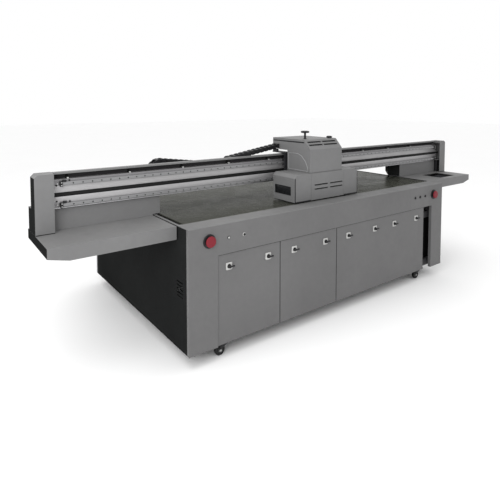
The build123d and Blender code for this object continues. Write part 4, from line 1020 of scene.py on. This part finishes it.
# Handle and dome on the lid, with eight shallow lobes around their rims
HANDLE_AT, DOME_AT = (-0.165, -0.610), (0.075, -0.660)
LOBES, LOBE_DEPTH = 8, 0.06
LOBED_FROM = 0.02              # radius beyond which the lobes start
handle = lathe_part(
    [(0.0150, 0), (0.0150, 0.003), (0.0092, 0.006), (0.0088, 0.048), (0.0115, 0.0500), (0.0300, 0.0508),
     (0.0350, 0.0540), (0.0360, 0.0590), (0.0352, 0.0640), (0.0310, 0.0675), (0.0180, 0.0690),
     (0, 0.0690)], 56
)
dome = lathe_part(
    [(0.0150, 0), (0.0150, 0.0042), (0.0245, 0.0044), (0.0260, 0.0065), (0.0260, 0.0105), (0.0240, 0.0150),
     (0.0180, 0.0188), (0.0090, 0.0200), (0, 0.0200)], 56
)
knobs = Piece("plastic")
for (turned, faces), (x, y) in ((handle, HANDLE_AT), (dome, DOME_AT)):
    lobed = []
    for px, py, pz in turned:
        if math.hypot(px, py) > LOBED_FROM:
            share = 1 - LOBE_DEPTH * (0.5 - 0.5 * math.cos(LOBES * math.atan2(py, px)))
            px, py = px * share, py * share
        lobed.append((px, py, pz))
    knobs.add((lobed, faces), (x, y, upper_high.z))
knobs.finish("cover_knob_pair", "print_carriage", ["cover_knobs"])

# ---- Stage and light ---------------------------------------------------------------------
SPAN = 40
floor_mesh = bpy.data.meshes.new("floor")
corners = [(-SPAN, -SPAN, 0), (SPAN, -SPAN, 0), (SPAN, SPAN, 0), (-SPAN, SPAN, 0)]
floor_mesh.from_pydata(corners, [], [(0, 1, 2, 3)])
floor = bpy.data.objects.new("floor", floor_mesh)
scene.collection.objects.link(floor)
paper = Nodes("studio_floor")
unevenness = paper.span(paper.noise(0.8), 0.995, 1.005)
paper.put(paper.shader, "Base Color", paper.shade(rgba((0.972, 0.972, 0.972)), unevenness))
paper.put(paper.shader, "Roughness", 0.85)
floor_mesh.materials.append(paper.material)

world = bpy.data.worlds.new("studio")
scene.world = world
world.use_nodes = True
background = world.node_tree.nodes["Background"]
background.inputs["Color"].default_value = (1.0, 1.0, 1.0, 1)
background.inputs["Strength"].default_value = 1.0


def softbox(name, place, aim, size, power):
    data = bpy.data.lights.new(name, "AREA")
    data.shape = "RECTANGLE"
    data.size, data.size_y = size
    data.energy = power
    light = bpy.data.objects.new(name, data)
    light.location = place
    light.rotation_euler = (Vector(aim) - Vector(place)).to_track_quat("-Z", "Y").to_euler()
    scene.collection.objects.link(light)


softbox("key", (-4.3, -3.4, 2.7), (-1.6, -0.5, 0.9), (2.4, 2.0), 95)
softbox("side", (-2.8, -1.7, 3.2), (-2.1, -0.6, 0.95), (1.5, 1.2), 22)
softbox("top", (0.5, 0.5, 5.0), (0, 0, 0.9), (5, 3), 35)
scene.view_settings.view_transform = "Standard"
